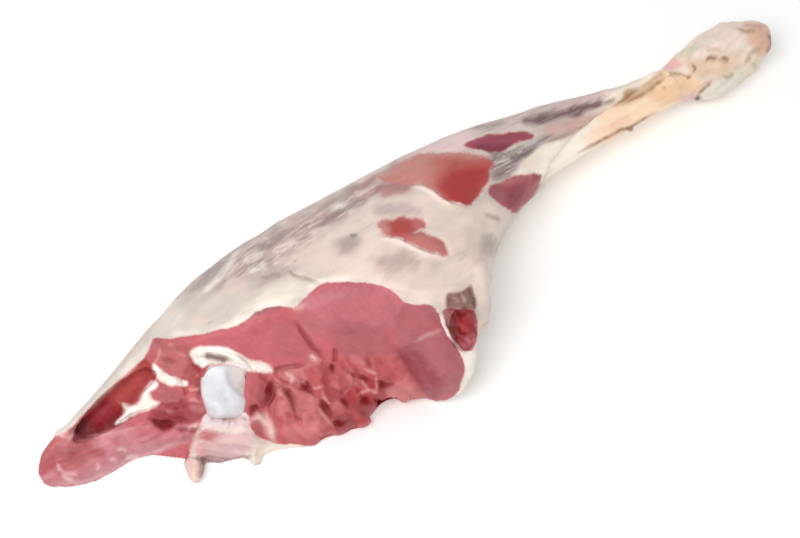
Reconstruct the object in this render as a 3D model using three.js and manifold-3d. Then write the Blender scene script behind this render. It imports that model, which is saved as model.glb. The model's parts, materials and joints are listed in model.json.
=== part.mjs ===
// A raw hind leg of goat with its shank and hock on, lying on its outer side.
// Millimetres, +Z up. X runs from the hip to the hock, and -Y is the side that was cut from the carcass.

import * as THREE from "three";
import { mergeVertices } from "three/addons/utils/BufferGeometryUtils.js";
import Module from "manifold-3d";

const wasm = await Module();
wasm.setup();

// Driving sizes
const BONE_GAP = 0.4; // all round a bone, between it and the flesh
const TABLE = 0; // height that the underside is pressed flat at
const EGG_SIDES = 20; // facets round the small rounded forms
const EGG_RINGS = 14;

// A smooth curve through [along, value] pairs, read as a function of the place along the leg.
function through(...pairs) {
  const places = pairs.map((pair) => pair[0]);
  const values = pairs.map((pair) => pair[1]);
  const curve = new THREE.CubicInterpolant(places, values, 1);
  return (along) => curve.evaluate(along)[0];
}

// The flesh before it is cut: its edges seen from above and its top and underside seen from the side.
const FLESH = {
  from: -315,
  to: 236,
  rings: 76,
  sides: 40,
  fullness: 2.3,
  roundedEnd: 26,
  back: through(
    [-315, 40], [-248, 53], [-150, 76], [-30, 74], [60, 71],
    [96, 65], [141, 57], [170, 47], [200, 41], [236, 43],
  ),
  front: through(
    [-315, -60], [-200, -98], [-62, -97], [-42, -82], [-24, -61],
    [-10, -54], [8, -32], [25, -15], [96, 14], [236, 38],
  ),
  crown: through([-315, 22], [-248, 52], [-172, 80], [-91, 93], [-20, 90], [48, 74], [141, 46], [236, 38]),
  under: through([-315, -4], [-100, -6], [20, -5], [60, 3], [110, 13], [170, 20], [236, 26]),
};

// The slice that took the leg off the carcass, as a line on the table and the lean of the face over it.
const SLICE = {
  start: [-156, -42],
  heading: -26.6, // degrees, seen from above
  lean: 31.5, // degrees from upright
  behind: 200, // reach of the face towards the hip, from its start
  ahead: 200, // and towards the knee
  above: 130, // reach up the slope
  below: 120, // and under the table
  depth: 240,
  step: 7.5,
};

// Muscles in the sliced face: centre and half size on the face (along, up), and how far each stands proud.
const CUT_MUSCLES = [
  { at: [47, 88], half: [38, 26], proud: 5 },
  { at: [96, 104], half: [36, 30], proud: 13 },
  { at: [96, 48], half: [28, 40], proud: 5 },
  { at: [74, -12], half: [52, 50], proud: -23 },
  { at: [14, 24], half: [46, 34], proud: 7 },
  { at: [-22, 82], half: [48, 18], proud: 3 },
  { at: [-41, 48], half: [28, 34], proud: -7 },
  { at: [-40, 0], half: [34, 24], proud: 5 },
  { at: [-76, 52], half: [22, 20], proud: 2 },
  { at: [-98, 0], half: [34, 28], proud: -8 },
  { at: [-146, 8], half: [44, 28], proud: 6 },
];

// Hollows in the face: the pocket under the flank's edge and the pit beside the knee.
const HOLLOWS = [
  { at: [-112, 47], half: [36, 9, 13], turn: 36, sunk: 3 },
  { at: [114, 66], half: [9, 16, 9], turn: 0, sunk: 2 },
];

// A tag of flesh that hangs from the foot of the face onto the table.
const TAG = { centre: [-215, -14, 6], half: [18, 7, 6], turn: 54 };

// Thigh bone: its ball shows in the sliced face, and the shaft runs on through the flesh to the knee.
const BALL = { at: [-41, 47], half: [15, 20, 15], turn: 0, sunk: 3 };
const THIGH_BONE = {
  from: -178,
  to: 20,
  rings: 26,
  sides: 16,
  fullness: 2,
  roundedEnd: 12,
  back: through([-178, 11], [-140, 30], [-90, 30], [-20, 32], [10, 41], [20, 41]),
  front: through([-178, -7], [-140, 8], [-90, 12], [-20, 10], [10, 1], [20, 1]),
  crown: through([-178, 47], [-140, 54], [-90, 52], [-20, 50], [10, 58], [20, 58]),
  under: through([-178, 29], [-140, 32], [-90, 34], [-20, 30], [10, 22], [20, 22]),
};

// Shank bone: from the knee inside the flesh to the hock, bare on its front for the lower half.
const SHANK_BONE = {
  from: 27,
  to: 230,
  rings: 34,
  sides: 18,
  fullness: 2.1,
  roundedEnd: 12,
  back: through([27, 40], [60, 42], [110, 45], [160, 44], [200, 44], [230, 46]),
  front: through([27, 4], [60, 8], [96, 15], [130, 18], [170, 18], [200, 19], [230, 17]),
  crown: through([27, 56], [60, 50], [110, 42], [160, 37], [200, 34], [230, 36]),
  under: through([27, 22], [60, 22], [110, 18], [160, 14], [200, 11], [230, 8]),
};

// Hock: the joint at the end of the shank, wrapped in sinew, with the heel at its back.
const HOCK = {
  from: 212,
  to: 312,
  rings: 24,
  sides: 24,
  fullness: 2.2,
  roundedEnd: 24,
  back: through([212, 46], [236, 50], [262, 51], [290, 46], [312, 38]),
  front: through([212, 14], [236, 12], [256, 9], [284, 12], [312, 16]),
  crown: through([212, 38], [250, 42], [285, 40], [312, 34]),
  under: through([212, 3], [236, -2], [290, -2], [312, 4]),
};

// A closed form drawn out along X: each ring of a sphere moves to its place and is fitted to the edges there.
function drawOut(form, grow = 0) {
  const shape = new THREE.SphereGeometry(1, form.sides, form.rings);
  const points = shape.getAttribute("position");
  const onSphere = new THREE.Vector3();
  for (let i = 0; i < points.count; i++) {
    onSphere.fromBufferAttribute(points, i);
    const share = Math.acos(THREE.MathUtils.clamp(onSphere.y, -1, 1)) / Math.PI;
    const along = THREE.MathUtils.lerp(form.from - grow, form.to + grow, share);
    const toEnd = Math.min(along - form.from + grow, form.to + grow - along);
    const inCap = Math.max(0, 1 - toEnd / form.roundedEnd);
    const narrowing = Math.sqrt(Math.max(0, 1 - inCap * inCap));
    const angle = Math.atan2(-onSphere.x, onSphere.z);
    const across = squarish(Math.cos(angle), form.fullness) * narrowing;
    const upward = squarish(Math.sin(angle), form.fullness) * narrowing;
    const [front, back] = [form.front(along) - grow, form.back(along) + grow];
    const [under, crown] = [form.under(along) - grow, form.crown(along) + grow];
    const y = (front + back) / 2 + (across * (back - front)) / 2;
    const z = (under + crown) / 2 + (upward * (crown - under)) / 2;
    points.setXYZ(i, along, y, Math.max(TABLE, z));
  }
  return shape;
}

// Cosine or sine of a ring's angle, filled out towards a square as fullness rises above 2.
function squarish(value, fullness) {
  return Math.sign(value) * Math.abs(value) ** (2 / fullness);
}

function solidOf(geometry) {
  const bare = geometry.clone();
  bare.deleteAttribute("normal");
  bare.deleteAttribute("uv");
  const merged = mergeVertices(bare, 1e-3);
  return new wasm.Manifold(
    new wasm.Mesh({
      numProp: 3,
      vertProperties: merged.getAttribute("position").array,
      triVerts: new Uint32Array(merged.index.array),
    }),
  );
}

function geometryOf(solid) {
  const mesh = solid.getMesh();
  const geometry = new THREE.BufferGeometry();
  geometry.setAttribute("position", new THREE.BufferAttribute(mesh.vertProperties, 3));
  geometry.setIndex(new THREE.BufferAttribute(mesh.triVerts, 1));
  geometry.computeVertexNormals();
  return geometry;
}

// The frame of the sliced face: X along it towards the knee, Z up its slope and Y into the flesh.
const sliceFrame = new THREE.Object3D();
sliceFrame.position.set(...SLICE.start, 0);
sliceFrame.rotation.order = "ZXY";
sliceFrame.rotation.z = THREE.MathUtils.degToRad(SLICE.heading);
sliceFrame.rotation.x = THREE.MathUtils.degToRad(-SLICE.lean);
sliceFrame.updateMatrix();

// How far the flesh stands out of the flat slice at a place on it: each cut muscle is a low dome or a hollow.
function standsOut(along, up) {
  let out = 0;
  for (const { at, half, proud } of CUT_MUSCLES) {
    const reach = ((along - at[0]) / half[0]) ** 2 + ((up - at[1]) / half[1]) ** 2;
    if (reach < 1) out += proud * (1 - reach) ** 1.5;
  }
  return out;
}

// The block that the slice takes away: a box whose inner face carries the cut muscles in reverse.
function slicedAway() {
  const length = SLICE.behind + SLICE.ahead;
  const height = SLICE.above + SLICE.below;
  const [columns, rows] = [Math.round(length / SLICE.step), Math.round(height / SLICE.step)];
  const block = new THREE.BoxGeometry(length, SLICE.depth, height, columns, 1, rows);
  block.translate((SLICE.ahead - SLICE.behind) / 2, -SLICE.depth / 2, (SLICE.above - SLICE.below) / 2);
  const points = block.getAttribute("position");
  for (let i = 0; i < points.count; i++) {
    if (points.getY(i) > -1) points.setY(i, -standsOut(points.getX(i), points.getZ(i)));
  }
  return block.applyMatrix4(sliceFrame.matrix);
}

// An egg on the sliced face, turned in the plane of the face and sunk into it.
function eggOnFace({ at, half, turn, sunk }, grow = 0) {
  const egg = new THREE.SphereGeometry(1, EGG_SIDES, EGG_RINGS);
  egg.scale(half[0] + grow, half[2] + grow, half[1] + grow);
  egg.rotateY(THREE.MathUtils.degToRad(-turn));
  egg.translate(at[0], sunk, at[1]);
  return solidOf(egg.applyMatrix4(sliceFrame.matrix));
}

function hangingTag() {
  const tag = new THREE.SphereGeometry(1, EGG_SIDES, EGG_RINGS);
  tag.scale(...TAG.half);
  tag.rotateZ(THREE.MathUtils.degToRad(TAG.turn));
  tag.translate(...TAG.centre);
  return solidOf(tag);
}

function thighBone(grow = 0) {
  return solidOf(drawOut(THIGH_BONE, grow)).add(eggOnFace(BALL, grow));
}

const shankBone = (grow = 0) => solidOf(drawOut(SHANK_BONE, grow));
const hock = (grow = 0) => solidOf(drawOut(HOCK, grow));

let flesh = solidOf(drawOut(FLESH)).subtract(solidOf(slicedAway()));
for (const hollow of HOLLOWS) flesh = flesh.subtract(eggOnFace(hollow));
flesh = flesh.add(hangingTag());
for (const bone of [thighBone, shankBone, hock]) flesh = flesh.subtract(bone(BONE_GAP));

const leg = new THREE.Group();
function addPiece(name, solid, color, roughness) {
  const material = new THREE.MeshStandardMaterial({ color, roughness, metalness: 0 });
  const piece = new THREE.Mesh(geometryOf(solid), material);
  piece.name = name;
  leg.add(piece);
}
addPiece("leg_meat", flesh, 0xb9757a, 0.45);
addPiece("thigh_bone", thighBone(), 0xdfe4ea, 0.3);
addPiece("shank_bone", shankBone(), 0xecc9a4, 0.5);
addPiece("hock", hock().subtract(shankBone(BONE_GAP)), 0xdccfc4, 0.5);

// The origin is on the table under the middle of the leg.
const bounds = new THREE.Box3().setFromObject(leg);
const middle = bounds.getCenter(new THREE.Vector3());
for (const piece of leg.children) piece.geometry.translate(-middle.x, -middle.y, -bounds.min.z);

export default leg;
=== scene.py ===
# %% [markdown]
# # A raw leg of goat
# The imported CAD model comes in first. It is a fixed frame: its four solids keep their places, and each
# of them is then replaced by a detailed copy that looks like flesh, gristle, bone or sinew.

import json
import math

import bpy
import numpy as np
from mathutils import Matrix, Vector
from mathutils.bvhtree import BVHTree

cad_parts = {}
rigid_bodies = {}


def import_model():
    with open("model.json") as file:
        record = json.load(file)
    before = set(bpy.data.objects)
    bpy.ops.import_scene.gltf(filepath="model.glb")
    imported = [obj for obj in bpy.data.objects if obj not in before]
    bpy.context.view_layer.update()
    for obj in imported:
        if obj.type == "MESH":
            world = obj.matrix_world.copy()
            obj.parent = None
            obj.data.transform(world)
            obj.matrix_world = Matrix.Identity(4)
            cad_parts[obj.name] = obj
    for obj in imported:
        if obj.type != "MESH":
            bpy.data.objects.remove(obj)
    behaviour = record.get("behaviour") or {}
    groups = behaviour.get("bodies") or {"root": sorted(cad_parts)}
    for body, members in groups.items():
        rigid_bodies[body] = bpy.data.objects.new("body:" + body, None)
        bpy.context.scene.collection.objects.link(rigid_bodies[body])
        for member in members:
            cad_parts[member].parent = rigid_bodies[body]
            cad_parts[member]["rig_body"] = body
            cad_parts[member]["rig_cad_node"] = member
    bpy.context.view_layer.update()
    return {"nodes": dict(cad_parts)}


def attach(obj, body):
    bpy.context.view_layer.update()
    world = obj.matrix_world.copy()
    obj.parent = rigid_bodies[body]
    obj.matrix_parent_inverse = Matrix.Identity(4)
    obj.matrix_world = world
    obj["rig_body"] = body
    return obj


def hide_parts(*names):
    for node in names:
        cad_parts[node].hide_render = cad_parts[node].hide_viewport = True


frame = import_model()
MM = 0.001

# %% [markdown]
# ## The camera
# The leg is looked down on from its hip end, with a long lens. The same camera is also written as a
# small function, which says where a point of the leg falls in the picture. Features are then placed by
# the pixel at which they are seen, as when painting through a camera, and stay on the surface.

# %% Camera
PICTURE = (800, 538)
LENS = 100.0
SENSOR = 36.0
ELEVATION = math.radians(55.0)
AZIMUTH = math.radians(-36.6)
DISTANCE = 1.462
AIM = Vector((-0.0404, 0.0106, 0.0400))

TO_EYE = Vector((
    math.sin(AZIMUTH) * math.cos(ELEVATION),
    -math.cos(AZIMUTH) * math.cos(ELEVATION),
    math.sin(ELEVATION),
))
RIGHT = Vector((math.cos(AZIMUTH), math.sin(AZIMUTH), 0.0))
UPWARD = TO_EYE.cross(RIGHT)
EYE = AIM + DISTANCE * TO_EYE
PIXEL = DISTANCE * SENSOR / LENS / PICTURE[0]

bpy.ops.object.camera_add(location=EYE, rotation=TO_EYE.to_track_quat("Z", "Y").to_euler())
camera = bpy.context.object
camera.name = "camera"
camera.data.lens = LENS
camera.data.sensor_width = SENSOR
bpy.context.scene.camera = camera


def in_picture(points):
    """Where points of the leg are seen, in pixels of the picture."""
    from_eye = points - np.array(EYE)
    scale = LENS / SENSOR * PICTURE[0] / -(from_eye @ np.array(TO_EYE))
    across = PICTURE[0] / 2 + scale * (from_eye @ np.array(RIGHT))
    down = PICTURE[1] / 2 - scale * (from_eye @ np.array(UPWARD))
    return np.stack([across, down], axis=1)


print("A pixel is about", round(PIXEL / MM, 2), "mm on the leg")

# %% [markdown]
# ## Floor and light
# A wide pale floor and an even white sky give the soft, nearly shadowless light of a packshot. One large
# lamp on the camera's left adds just enough direction to show the relief. A faint glow in the floor
# lightens the shadow under the leg, as a light table would.

# %% Floor and light
FLOOR_SIZE = 8.0
FLOOR_WHITE = (0.93, 0.93, 0.92, 1.0)
FLOOR_GLOW = 0.13
SKY_STRENGTH = 0.62
KEY_PLACE = AIM + Vector((-0.9, -0.35, 1.5))
KEY_SIZE = 1.0
KEY_WATTS = 18.0

bpy.ops.mesh.primitive_plane_add(size=FLOOR_SIZE, location=(0, 0, 0))
floor = bpy.context.object
floor.name = "floor"
floor_paint = bpy.data.materials.new("floor_paint")
floor_paint.use_nodes = True
floor_shader = floor_paint.node_tree.nodes["Principled BSDF"]
floor_shader.inputs["Base Color"].default_value = FLOOR_WHITE
floor_shader.inputs["Roughness"].default_value = 0.9
floor_shader.inputs["Emission Color"].default_value = (1.0, 1.0, 1.0, 1.0)
floor_shader.inputs["Emission Strength"].default_value = FLOOR_GLOW
floor.data.materials.append(floor_paint)

sky = bpy.data.worlds.new("sky")
sky.use_nodes = True
sky.node_tree.nodes["Background"].inputs["Color"].default_value = (1.0, 1.0, 1.0, 1.0)
sky.node_tree.nodes["Background"].inputs["Strength"].default_value = SKY_STRENGTH
bpy.context.scene.world = sky
bpy.context.scene.view_settings.view_transform = "Standard"

key_turn = (KEY_PLACE - AIM).to_track_quat("Z", "Y").to_euler()
bpy.ops.object.light_add(type="AREA", location=KEY_PLACE, rotation=key_turn)
key = bpy.context.object
key.name = "key_light"
key.data.size = KEY_SIZE
key.data.energy = KEY_WATTS
print("Key light at", [round(c, 2) for c in KEY_PLACE])

# %% [markdown]
# ## Working copies
# A CAD node is never changed. Its copy has its loose triangles merged and is then remeshed into small
# even squares, because even squares can be pushed about like clay. A Smooth modifier takes away the
# facets that the solid was built with.

# %% Copies to work on


def settle(piece, kind, **settings):
    """Adds a modifier to a piece and applies it."""
    bpy.context.view_layer.objects.active = piece
    bpy.ops.object.modifier_add(type=kind)
    modifier = piece.modifiers[-1]
    for name, value in settings.items():
        setattr(modifier, name, value)
    bpy.ops.object.modifier_apply(modifier=modifier.name)


def working_copy(node, name, square, smoothing):
    """A copy of a CAD node as even squares with smooth shading."""
    bpy.ops.object.select_all(action="DESELECT")
    frame["nodes"][node].select_set(True)
    bpy.context.view_layer.objects.active = frame["nodes"][node]
    bpy.ops.object.duplicate()
    piece = bpy.context.object
    piece.name = name
    piece.data.name = name
    piece.data.materials.clear()
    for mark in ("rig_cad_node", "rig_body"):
        del piece[mark]
    bpy.ops.object.parent_clear(type="CLEAR_KEEP_TRANSFORM")
    bpy.ops.object.mode_set(mode="EDIT")
    bpy.ops.mesh.select_all(action="SELECT")
    bpy.ops.mesh.remove_doubles(threshold=0.01 * MM)
    bpy.ops.object.mode_set(mode="OBJECT")
    settle(piece, "REMESH", mode="VOXEL", voxel_size=square)
    settle(piece, "SMOOTH", factor=0.5, iterations=smoothing)
    bpy.ops.object.shade_smooth()
    return piece


def triangles(piece):
    return sum(len(face.vertices) - 2 for face in piece.data.polygons)


ball = working_copy("thigh_bone", "hip_ball", square=1.0 * MM, smoothing=8)
shank = working_copy("shank_bone", "shank", square=1.0 * MM, smoothing=8)
hock = working_copy("hock", "hock_joint", square=0.9 * MM, smoothing=8)
flesh = working_copy("leg_meat", "flesh", square=1.95 * MM, smoothing=10)
print("Triangles:", {piece.name: triangles(piece) for piece in (ball, shank, hock, flesh)})

# %% [markdown]
# ## Brushes
# Sculpting and vertex painting need a window, so the brushes used here are small functions. They look at
# the surface through the camera. A *line* is a soft stroke through a few spots, and a *patch* is a
# soft-edged shape inside an outline. Each gives a weight from 0 to 1 for every point, which then pushes
# the points along their normals or mixes a colour in. Outlines waver a little, as on anything that grew.

# %% Smooth runs and noise


def ramp(low, high, value):
    """From 0 at low to 1 at high, with a smooth start and end."""
    share = np.clip((value - low) / (high - low), 0.0, 1.0)
    return share * share * (3.0 - 2.0 * share)


def rounded(spots, closed, steps=4):
    """A smooth run of points through a few spots."""
    spots = np.array(spots, float)
    if closed:
        ring = np.vstack([spots[-1:], spots, spots[:2]])
    else:
        ring = np.vstack([2 * spots[0] - spots[1], spots, 2 * spots[-1] - spots[-2]])
    run = []
    for before, start, end, after in zip(ring, ring[1:], ring[2:], ring[3:]):
        for share in np.arange(steps) / steps:
            bend = (2 * before - 5 * start + 4 * end - after) * share**2
            twist = (3 * start - before - 3 * end + after) * share**3
            run.append(start + 0.5 * ((end - before) * share + bend + twist))
    if not closed:
        run.append(spots[-1])
    return np.array(run)


def reach_of(at, run, closed):
    """Distance in pixels from each place to a run of points, and the share of the run that is nearest."""
    ends = np.roll(run, -1, axis=0) if closed else run[1:]
    starts = run if closed else run[:-1]
    nearest = np.full(len(at), np.inf)
    share = np.zeros(len(at))
    for number, (start, end) in enumerate(zip(starts, ends)):
        step = end - start
        along = np.clip(((at - start) @ step) / max(step @ step, 1e-9), 0.0, 1.0)
        away = np.hypot(*(at - start - along[:, None] * step).T)
        closer = away < nearest
        nearest = np.where(closer, away, nearest)
        share = np.where(closer, (number + along) / len(starts), share)
    return nearest, share


def is_inside(at, run):
    """Whether each place is inside a closed run of points."""
    inside = np.zeros(len(at), bool)
    for (x1, y1), (x2, y2) in zip(run, np.roll(run, -1, axis=0)):
        if y1 == y2:
            continue
        crosses = (y1 > at[:, 1]) != (y2 > at[:, 1])
        inside ^= crosses & (at[:, 0] < x1 + (at[:, 1] - y1) * (x2 - x1) / (y2 - y1))
    return inside


def mottle(points, size, seed):
    """Smooth noise from 0 to 1, with lumps of the given size along each axis."""
    cell = points / np.array(size)
    corner = np.floor(cell).astype(np.int64)
    share = cell - corner
    share = share * share * (3.0 - 2.0 * share)
    total = np.zeros(len(points))
    for step in np.ndindex(2, 2, 2):
        key = (corner + step) @ np.array((374761393, 668265263, 1274126177)) + seed * 2246822519
        key = (key ^ (key >> 13)) * 1103515245
        value = ((key ^ (key >> 16)) & 0xFFFF) / 0xFFFF
        total += value * np.prod(np.where(step, share, 1.0 - share), axis=1)
    return total


def streaks(at, heading, long, short, seed):
    """Noise in the picture, drawn out along a heading in degrees (0 is right and 90 is down)."""
    turn = math.radians(heading)
    along = at @ np.array((math.cos(turn), math.sin(turn)))
    across = at @ np.array((-math.sin(turn), math.cos(turn)))
    return mottle(np.stack([along / long, across / short, 0 * along], axis=1), (1, 1, 1), seed)


sample = mottle(np.random.default_rng(1).random((999, 3)), (0.1, 0.1, 0.1), seed=1)
print("Noise runs from", sample.min().round(2), "to", sample.max().round(2))

# %% [markdown]
# ## A surface to work on
# A sculptor sees the clay, pushes it and looks again. This class does the same: it reads a piece's points
# and normals, finds where the camera sees each point, and writes the points back after a push. Proportional
# editing could move points too, but hundreds of strokes are easier to place and to change as tables.

# %% A surface that can be pushed and painted
FAR = 40.0  # pixels beyond which an outline isn't measured
GRAZING = (-0.08, 0.12)  # how much a point faces the camera when it begins to be seen, and is fully seen
FOLD_TURN = (0.88, 0.6)  # how alike neighbouring normals are where a fold begins, and where it is sharp


class Surface:
    """A piece's points as the camera sees them."""

    def __init__(self, piece, waver):
        self.piece = piece
        self.waver = waver
        self.read()

    def read(self):
        mesh = self.piece.data
        self.points = np.empty(len(mesh.vertices) * 3)
        mesh.vertices.foreach_get("co", self.points)
        self.points = self.points.reshape(-1, 3)
        self.normals = np.empty(len(mesh.vertices) * 3)
        mesh.vertices.foreach_get("normal", self.normals)
        self.normals = self.normals.reshape(-1, 3)
        ends = np.empty(len(mesh.edges) * 2, int)
        mesh.edges.foreach_get("vertices", ends)
        self.ends = np.vstack([ends.reshape(-1, 2), ends.reshape(-1, 2)[:, ::-1]]).T
        self.seen = ramp(*GRAZING, self.normals @ np.array(TO_EYE))
        at = in_picture(self.points)
        wide = np.stack([streaks(at, 0, 14, 14, seed) for seed in (61, 62)], axis=1)
        fine = np.stack([streaks(at, 0, 5, 5, seed) for seed in (63, 64)], axis=1)
        self.at = at + self.waver * (2 * wide + fine - 1.5)

    def write(self):
        self.points[:, 2] = np.maximum(self.points[:, 2], 0.0)
        self.piece.data.vertices.foreach_set("co", self.points.ravel())
        self.piece.data.update()
        self.read()

    def depth_in(self, spots):
        """How many pixels each point lies inside an outline. Outside it the number is negative."""
        run = rounded(spots, closed=True)
        close = np.all((self.at > run.min(0) - FAR) & (self.at < run.max(0) + FAR), axis=1)
        depth = np.full(len(self.at), -FAR)
        away, _ = reach_of(self.at[close], run, closed=True)
        depth[close] = np.where(is_inside(self.at[close], run), away, -np.minimum(away, FAR))
        return depth

    def patch(self, spots, soft):
        """1 inside an outline and 0 outside it, with a soft edge in between."""
        return ramp(-soft, soft, self.depth_in(spots)) * self.seen

    def dome(self, spots, soft):
        """0 at an outline, rising to 1 further inside."""
        return ramp(0.0, soft, self.depth_in(spots)) * self.seen

    def line(self, spots, wide, wedge=False, all_round=False):
        """A soft stroke through spots, thinner and fainter at its ends. A wedge is widest near its start."""
        run = rounded(spots, closed=False)
        close = np.all((self.at > run.min(0) - 2 * wide) & (self.at < run.max(0) + 2 * wide), axis=1)
        away, share = reach_of(self.at[close], run, closed=False)
        ends = ramp(0.0, 0.2, share) * ramp(1.0, 0.8, share)
        if wedge:
            ends = ramp(-0.1, 0.3, share) * ramp(1.1, 0.3, share)
        thin = 0.2 if wedge else 0.5
        weight = np.zeros(len(self.at))
        weight[close] = np.exp(-((away / (0.6 * wide * (thin + (1 - thin) * ends))) ** 2))
        weight[close] *= 0.3 + 0.7 * ends
        return weight if all_round else weight * self.seen

    def push(self, weight, millimetres):
        """Moves points along their normals."""
        self.points += self.normals * (weight * millimetres * MM)[:, None]

    def strokes(self, lines, sign=1, **kind):
        """Pushes along lines, each with its spots, width in pixels and height in millimetres."""
        for spots, wide, millimetres in lines:
            self.push(self.line(spots, wide, **kind), sign * millimetres)

    def ripple(self, weight, heading, long, short, seed, millimetres):
        """Pushes points in and out by streaky noise, with a heading in degrees and lengths in pixels."""
        self.push(weight * (streaks(self.at, heading, long, short, seed) - 0.5), millimetres)

    def swell(self, weight, size, seed, millimetres):
        """Pushes points in and out by soft lumps of a size in millimetres."""
        self.push(weight * (mottle(self.points, np.array(size) * MM, seed) - 0.5), millimetres)

    def nearby(self, values):
        """The mean of each point's neighbours."""
        here, there = self.ends
        count = np.maximum(np.bincount(here, minlength=len(values)), 1)
        return np.stack([np.bincount(here, v[there], len(values)) / count for v in values.T], axis=1)

    def relax(self, weight, times):
        """Evens points out among their neighbours, as the Smooth brush does."""
        for _ in range(times):
            self.points += 0.5 * weight[:, None] * (self.nearby(self.points) - self.points)

    def crumpled(self):
        """1 at sharp folds in the surface and next to them, and 0 where it is smooth."""
        mean = self.nearby(self.normals)
        mean /= np.maximum(np.linalg.norm(mean, axis=1, keepdims=True), 1e-9)
        fold = ramp(*FOLD_TURN, (mean * self.normals).sum(axis=1))[:, None]
        return np.clip(3.0 * self.nearby(self.nearby(fold)) + fold, 0.0, 1.0)[:, 0]

    def keep(self, name, values):
        """Stores a number, or a colour, for each point."""
        attributes = self.piece.data.attributes
        if values.ndim == 1:
            attributes.new(name, "FLOAT", "POINT").data.foreach_set("value", values.astype(np.float32))
        else:
            rgba = np.hstack([values, np.ones((len(values), 1))]).astype(np.float32)
            attributes.new(name, "FLOAT_COLOR", "POINT").data.foreach_set("color", rgba.ravel())


print("A point is fully seen where its slope to the camera is above", GRAZING[1])

# %% [markdown]
# ## Mixing colours
# Colours are given as they read in a picture, from 0 to 255, and are turned into linear light for the
# shader. A coat is one colour for every point of a piece. Patches and lines are mixed into it one after
# another, as wet paint is, and each is a little uneven, so that no edge looks printed.

# %% Coats of paint


def linear(colour):
    """A colour as a picture's 0 to 255 values, turned into linear light. An array is linear already."""
    if isinstance(colour, np.ndarray):
        return colour
    value = np.array(colour) / 255.0
    return np.where(value <= 0.04045, value / 12.92, ((value + 0.055) / 1.055) ** 2.4)


def mixed(coat, weight, colour):
    """Mixes a colour, or one for each point, into a coat by a weight."""
    return coat + (linear(colour) - coat) * np.clip(weight, 0, 1)[:, None]


def tinted(coat, tints):
    """Mixes colours into a coat one after another, each by its own weight."""
    for weight, colour in tints:
        coat = mixed(coat, weight, colour)
    return coat


def painted(surface, base, patches, lines):
    """A coat of one colour with uneven soft patches and lines of others on it."""
    coat = np.broadcast_to(linear(base), surface.points.shape).copy()
    uneven = streaks(surface.at, -32, 11, 5, seed=65) - 0.5
    broken = 0.72 + 0.28 * ramp(0.2, 0.6, streaks(surface.at, 20, 5, 3, seed=66))
    for outline, soft, colour, strength in patches:
        weight = surface.patch(outline, soft)
        weight = weight + 3.2 * uneven * weight * (1.0 - weight)
        coat = mixed(coat, weight * strength, colour)
    for spots, wide, colour, strength in lines:
        coat = mixed(coat, surface.line(spots, wide) * broken * strength, colour)
    return coat


print("Mid grey in linear light:", linear((128, 128, 128)).round(3)[0])

# %% [markdown]
# ## Helpers for materials
# Every finish is a Principled shader fed by a few noise textures on Object coordinates and by the coats
# that were painted on the points. These helpers keep each material short enough to read. Cartilage, bone
# and sinew differ only in their values, so one function makes all three.

# %% Node helpers
NOISE_RANGE = (0.3, 0.7)  # where most of a noise's values lie


def new_finish(name):
    """A new material, its node tree and its Principled shader."""
    material = bpy.data.materials.new(name)
    material.use_nodes = True
    return material, material.node_tree, material.node_tree.nodes["Principled BSDF"]


def wire(tree, kind, inputs, output=0, **settings):
    """Adds a node, links or sets its inputs, and gives back one of its outputs."""
    made = tree.nodes.new(kind)
    for name, value in settings.items():
        setattr(made, name, value)
    for name, value in inputs.items():
        if isinstance(value, bpy.types.NodeSocket):
            tree.links.new(value, made.inputs[name])
        else:
            made.inputs[name].default_value = value
    return made.outputs[output]


def blend(tree, share, first, second):
    """Mixes two colours."""
    sides = {}
    for name, value in ((6, first), (7, second)):
        sides[name] = value if isinstance(value, bpy.types.NodeSocket) else (*linear(value), 1.0)
    return wire(tree, "ShaderNodeMix", {0: share, **sides}, 2, data_type="RGBA")


def sums(tree, how, first, second):
    """Adds, subtracts or multiplies two values."""
    return wire(tree, "ShaderNodeMath", {0: first, 1: second}, operation=how)


def scaled(tree, colour, value):
    """Makes a colour lighter or darker."""
    return wire(tree, "ShaderNodeVectorMath", {0: colour, "Scale": value}, operation="SCALE")


def spread(tree, value, low, high, to_low=0.0, to_high=1.0):
    """Maps a value's range onto another with smooth ends."""
    inputs = {"Value": value, "From Min": low, "From Max": high, "To Min": to_low, "To Max": to_high}
    return wire(tree, "ShaderNodeMapRange", inputs, interpolation_type="SMOOTHSTEP")


def vary(tree, noise, low, high):
    """Maps a noise's usual range onto another."""
    return spread(tree, noise, *NOISE_RANGE, low, high)


def grain(tree, stretch, scale, detail=4.0, rough=0.55, turn=(0.0, 0.0, 0.0)):
    """Noise on object coordinates, stretched along turned axes."""
    place = wire(tree, "ShaderNodeTexCoord", {}, 3)
    longer = [1.0 / share for share in stretch]
    inputs = {"Vector": place, "Rotation": turn, "Scale": longer}
    mapped = wire(tree, "ShaderNodeMapping", inputs, vector_type="TEXTURE")
    inputs = {"Vector": mapped, "Scale": scale, "Detail": detail, "Roughness": rough}
    return wire(tree, "ShaderNodeTexNoise", inputs)


def stored(tree, name, output=2):
    """A number (output 2) or colour (output 0) kept for each point."""
    return wire(tree, "ShaderNodeAttribute", {}, output, attribute_name=name)


def moist(shader, depth, radius, share, coat):
    """Lets light sink into a finish, and lays a thin wet coat over it."""
    shader.inputs["Subsurface Weight"].default_value = share
    shader.inputs["Subsurface Radius"].default_value = radius
    shader.inputs["Subsurface Scale"].default_value = depth
    shader.inputs["Coat Weight"].default_value = coat
    shader.inputs["Coat Roughness"].default_value = 0.2


def bumpy(tree, shader, height, strength, distance):
    """Gives a finish fine relief without moving its points."""
    inputs = {"Height": height, "Strength": strength, "Distance": distance}
    tree.links.new(wire(tree, "ShaderNodeBump", inputs), shader.inputs["Normal"])


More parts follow.
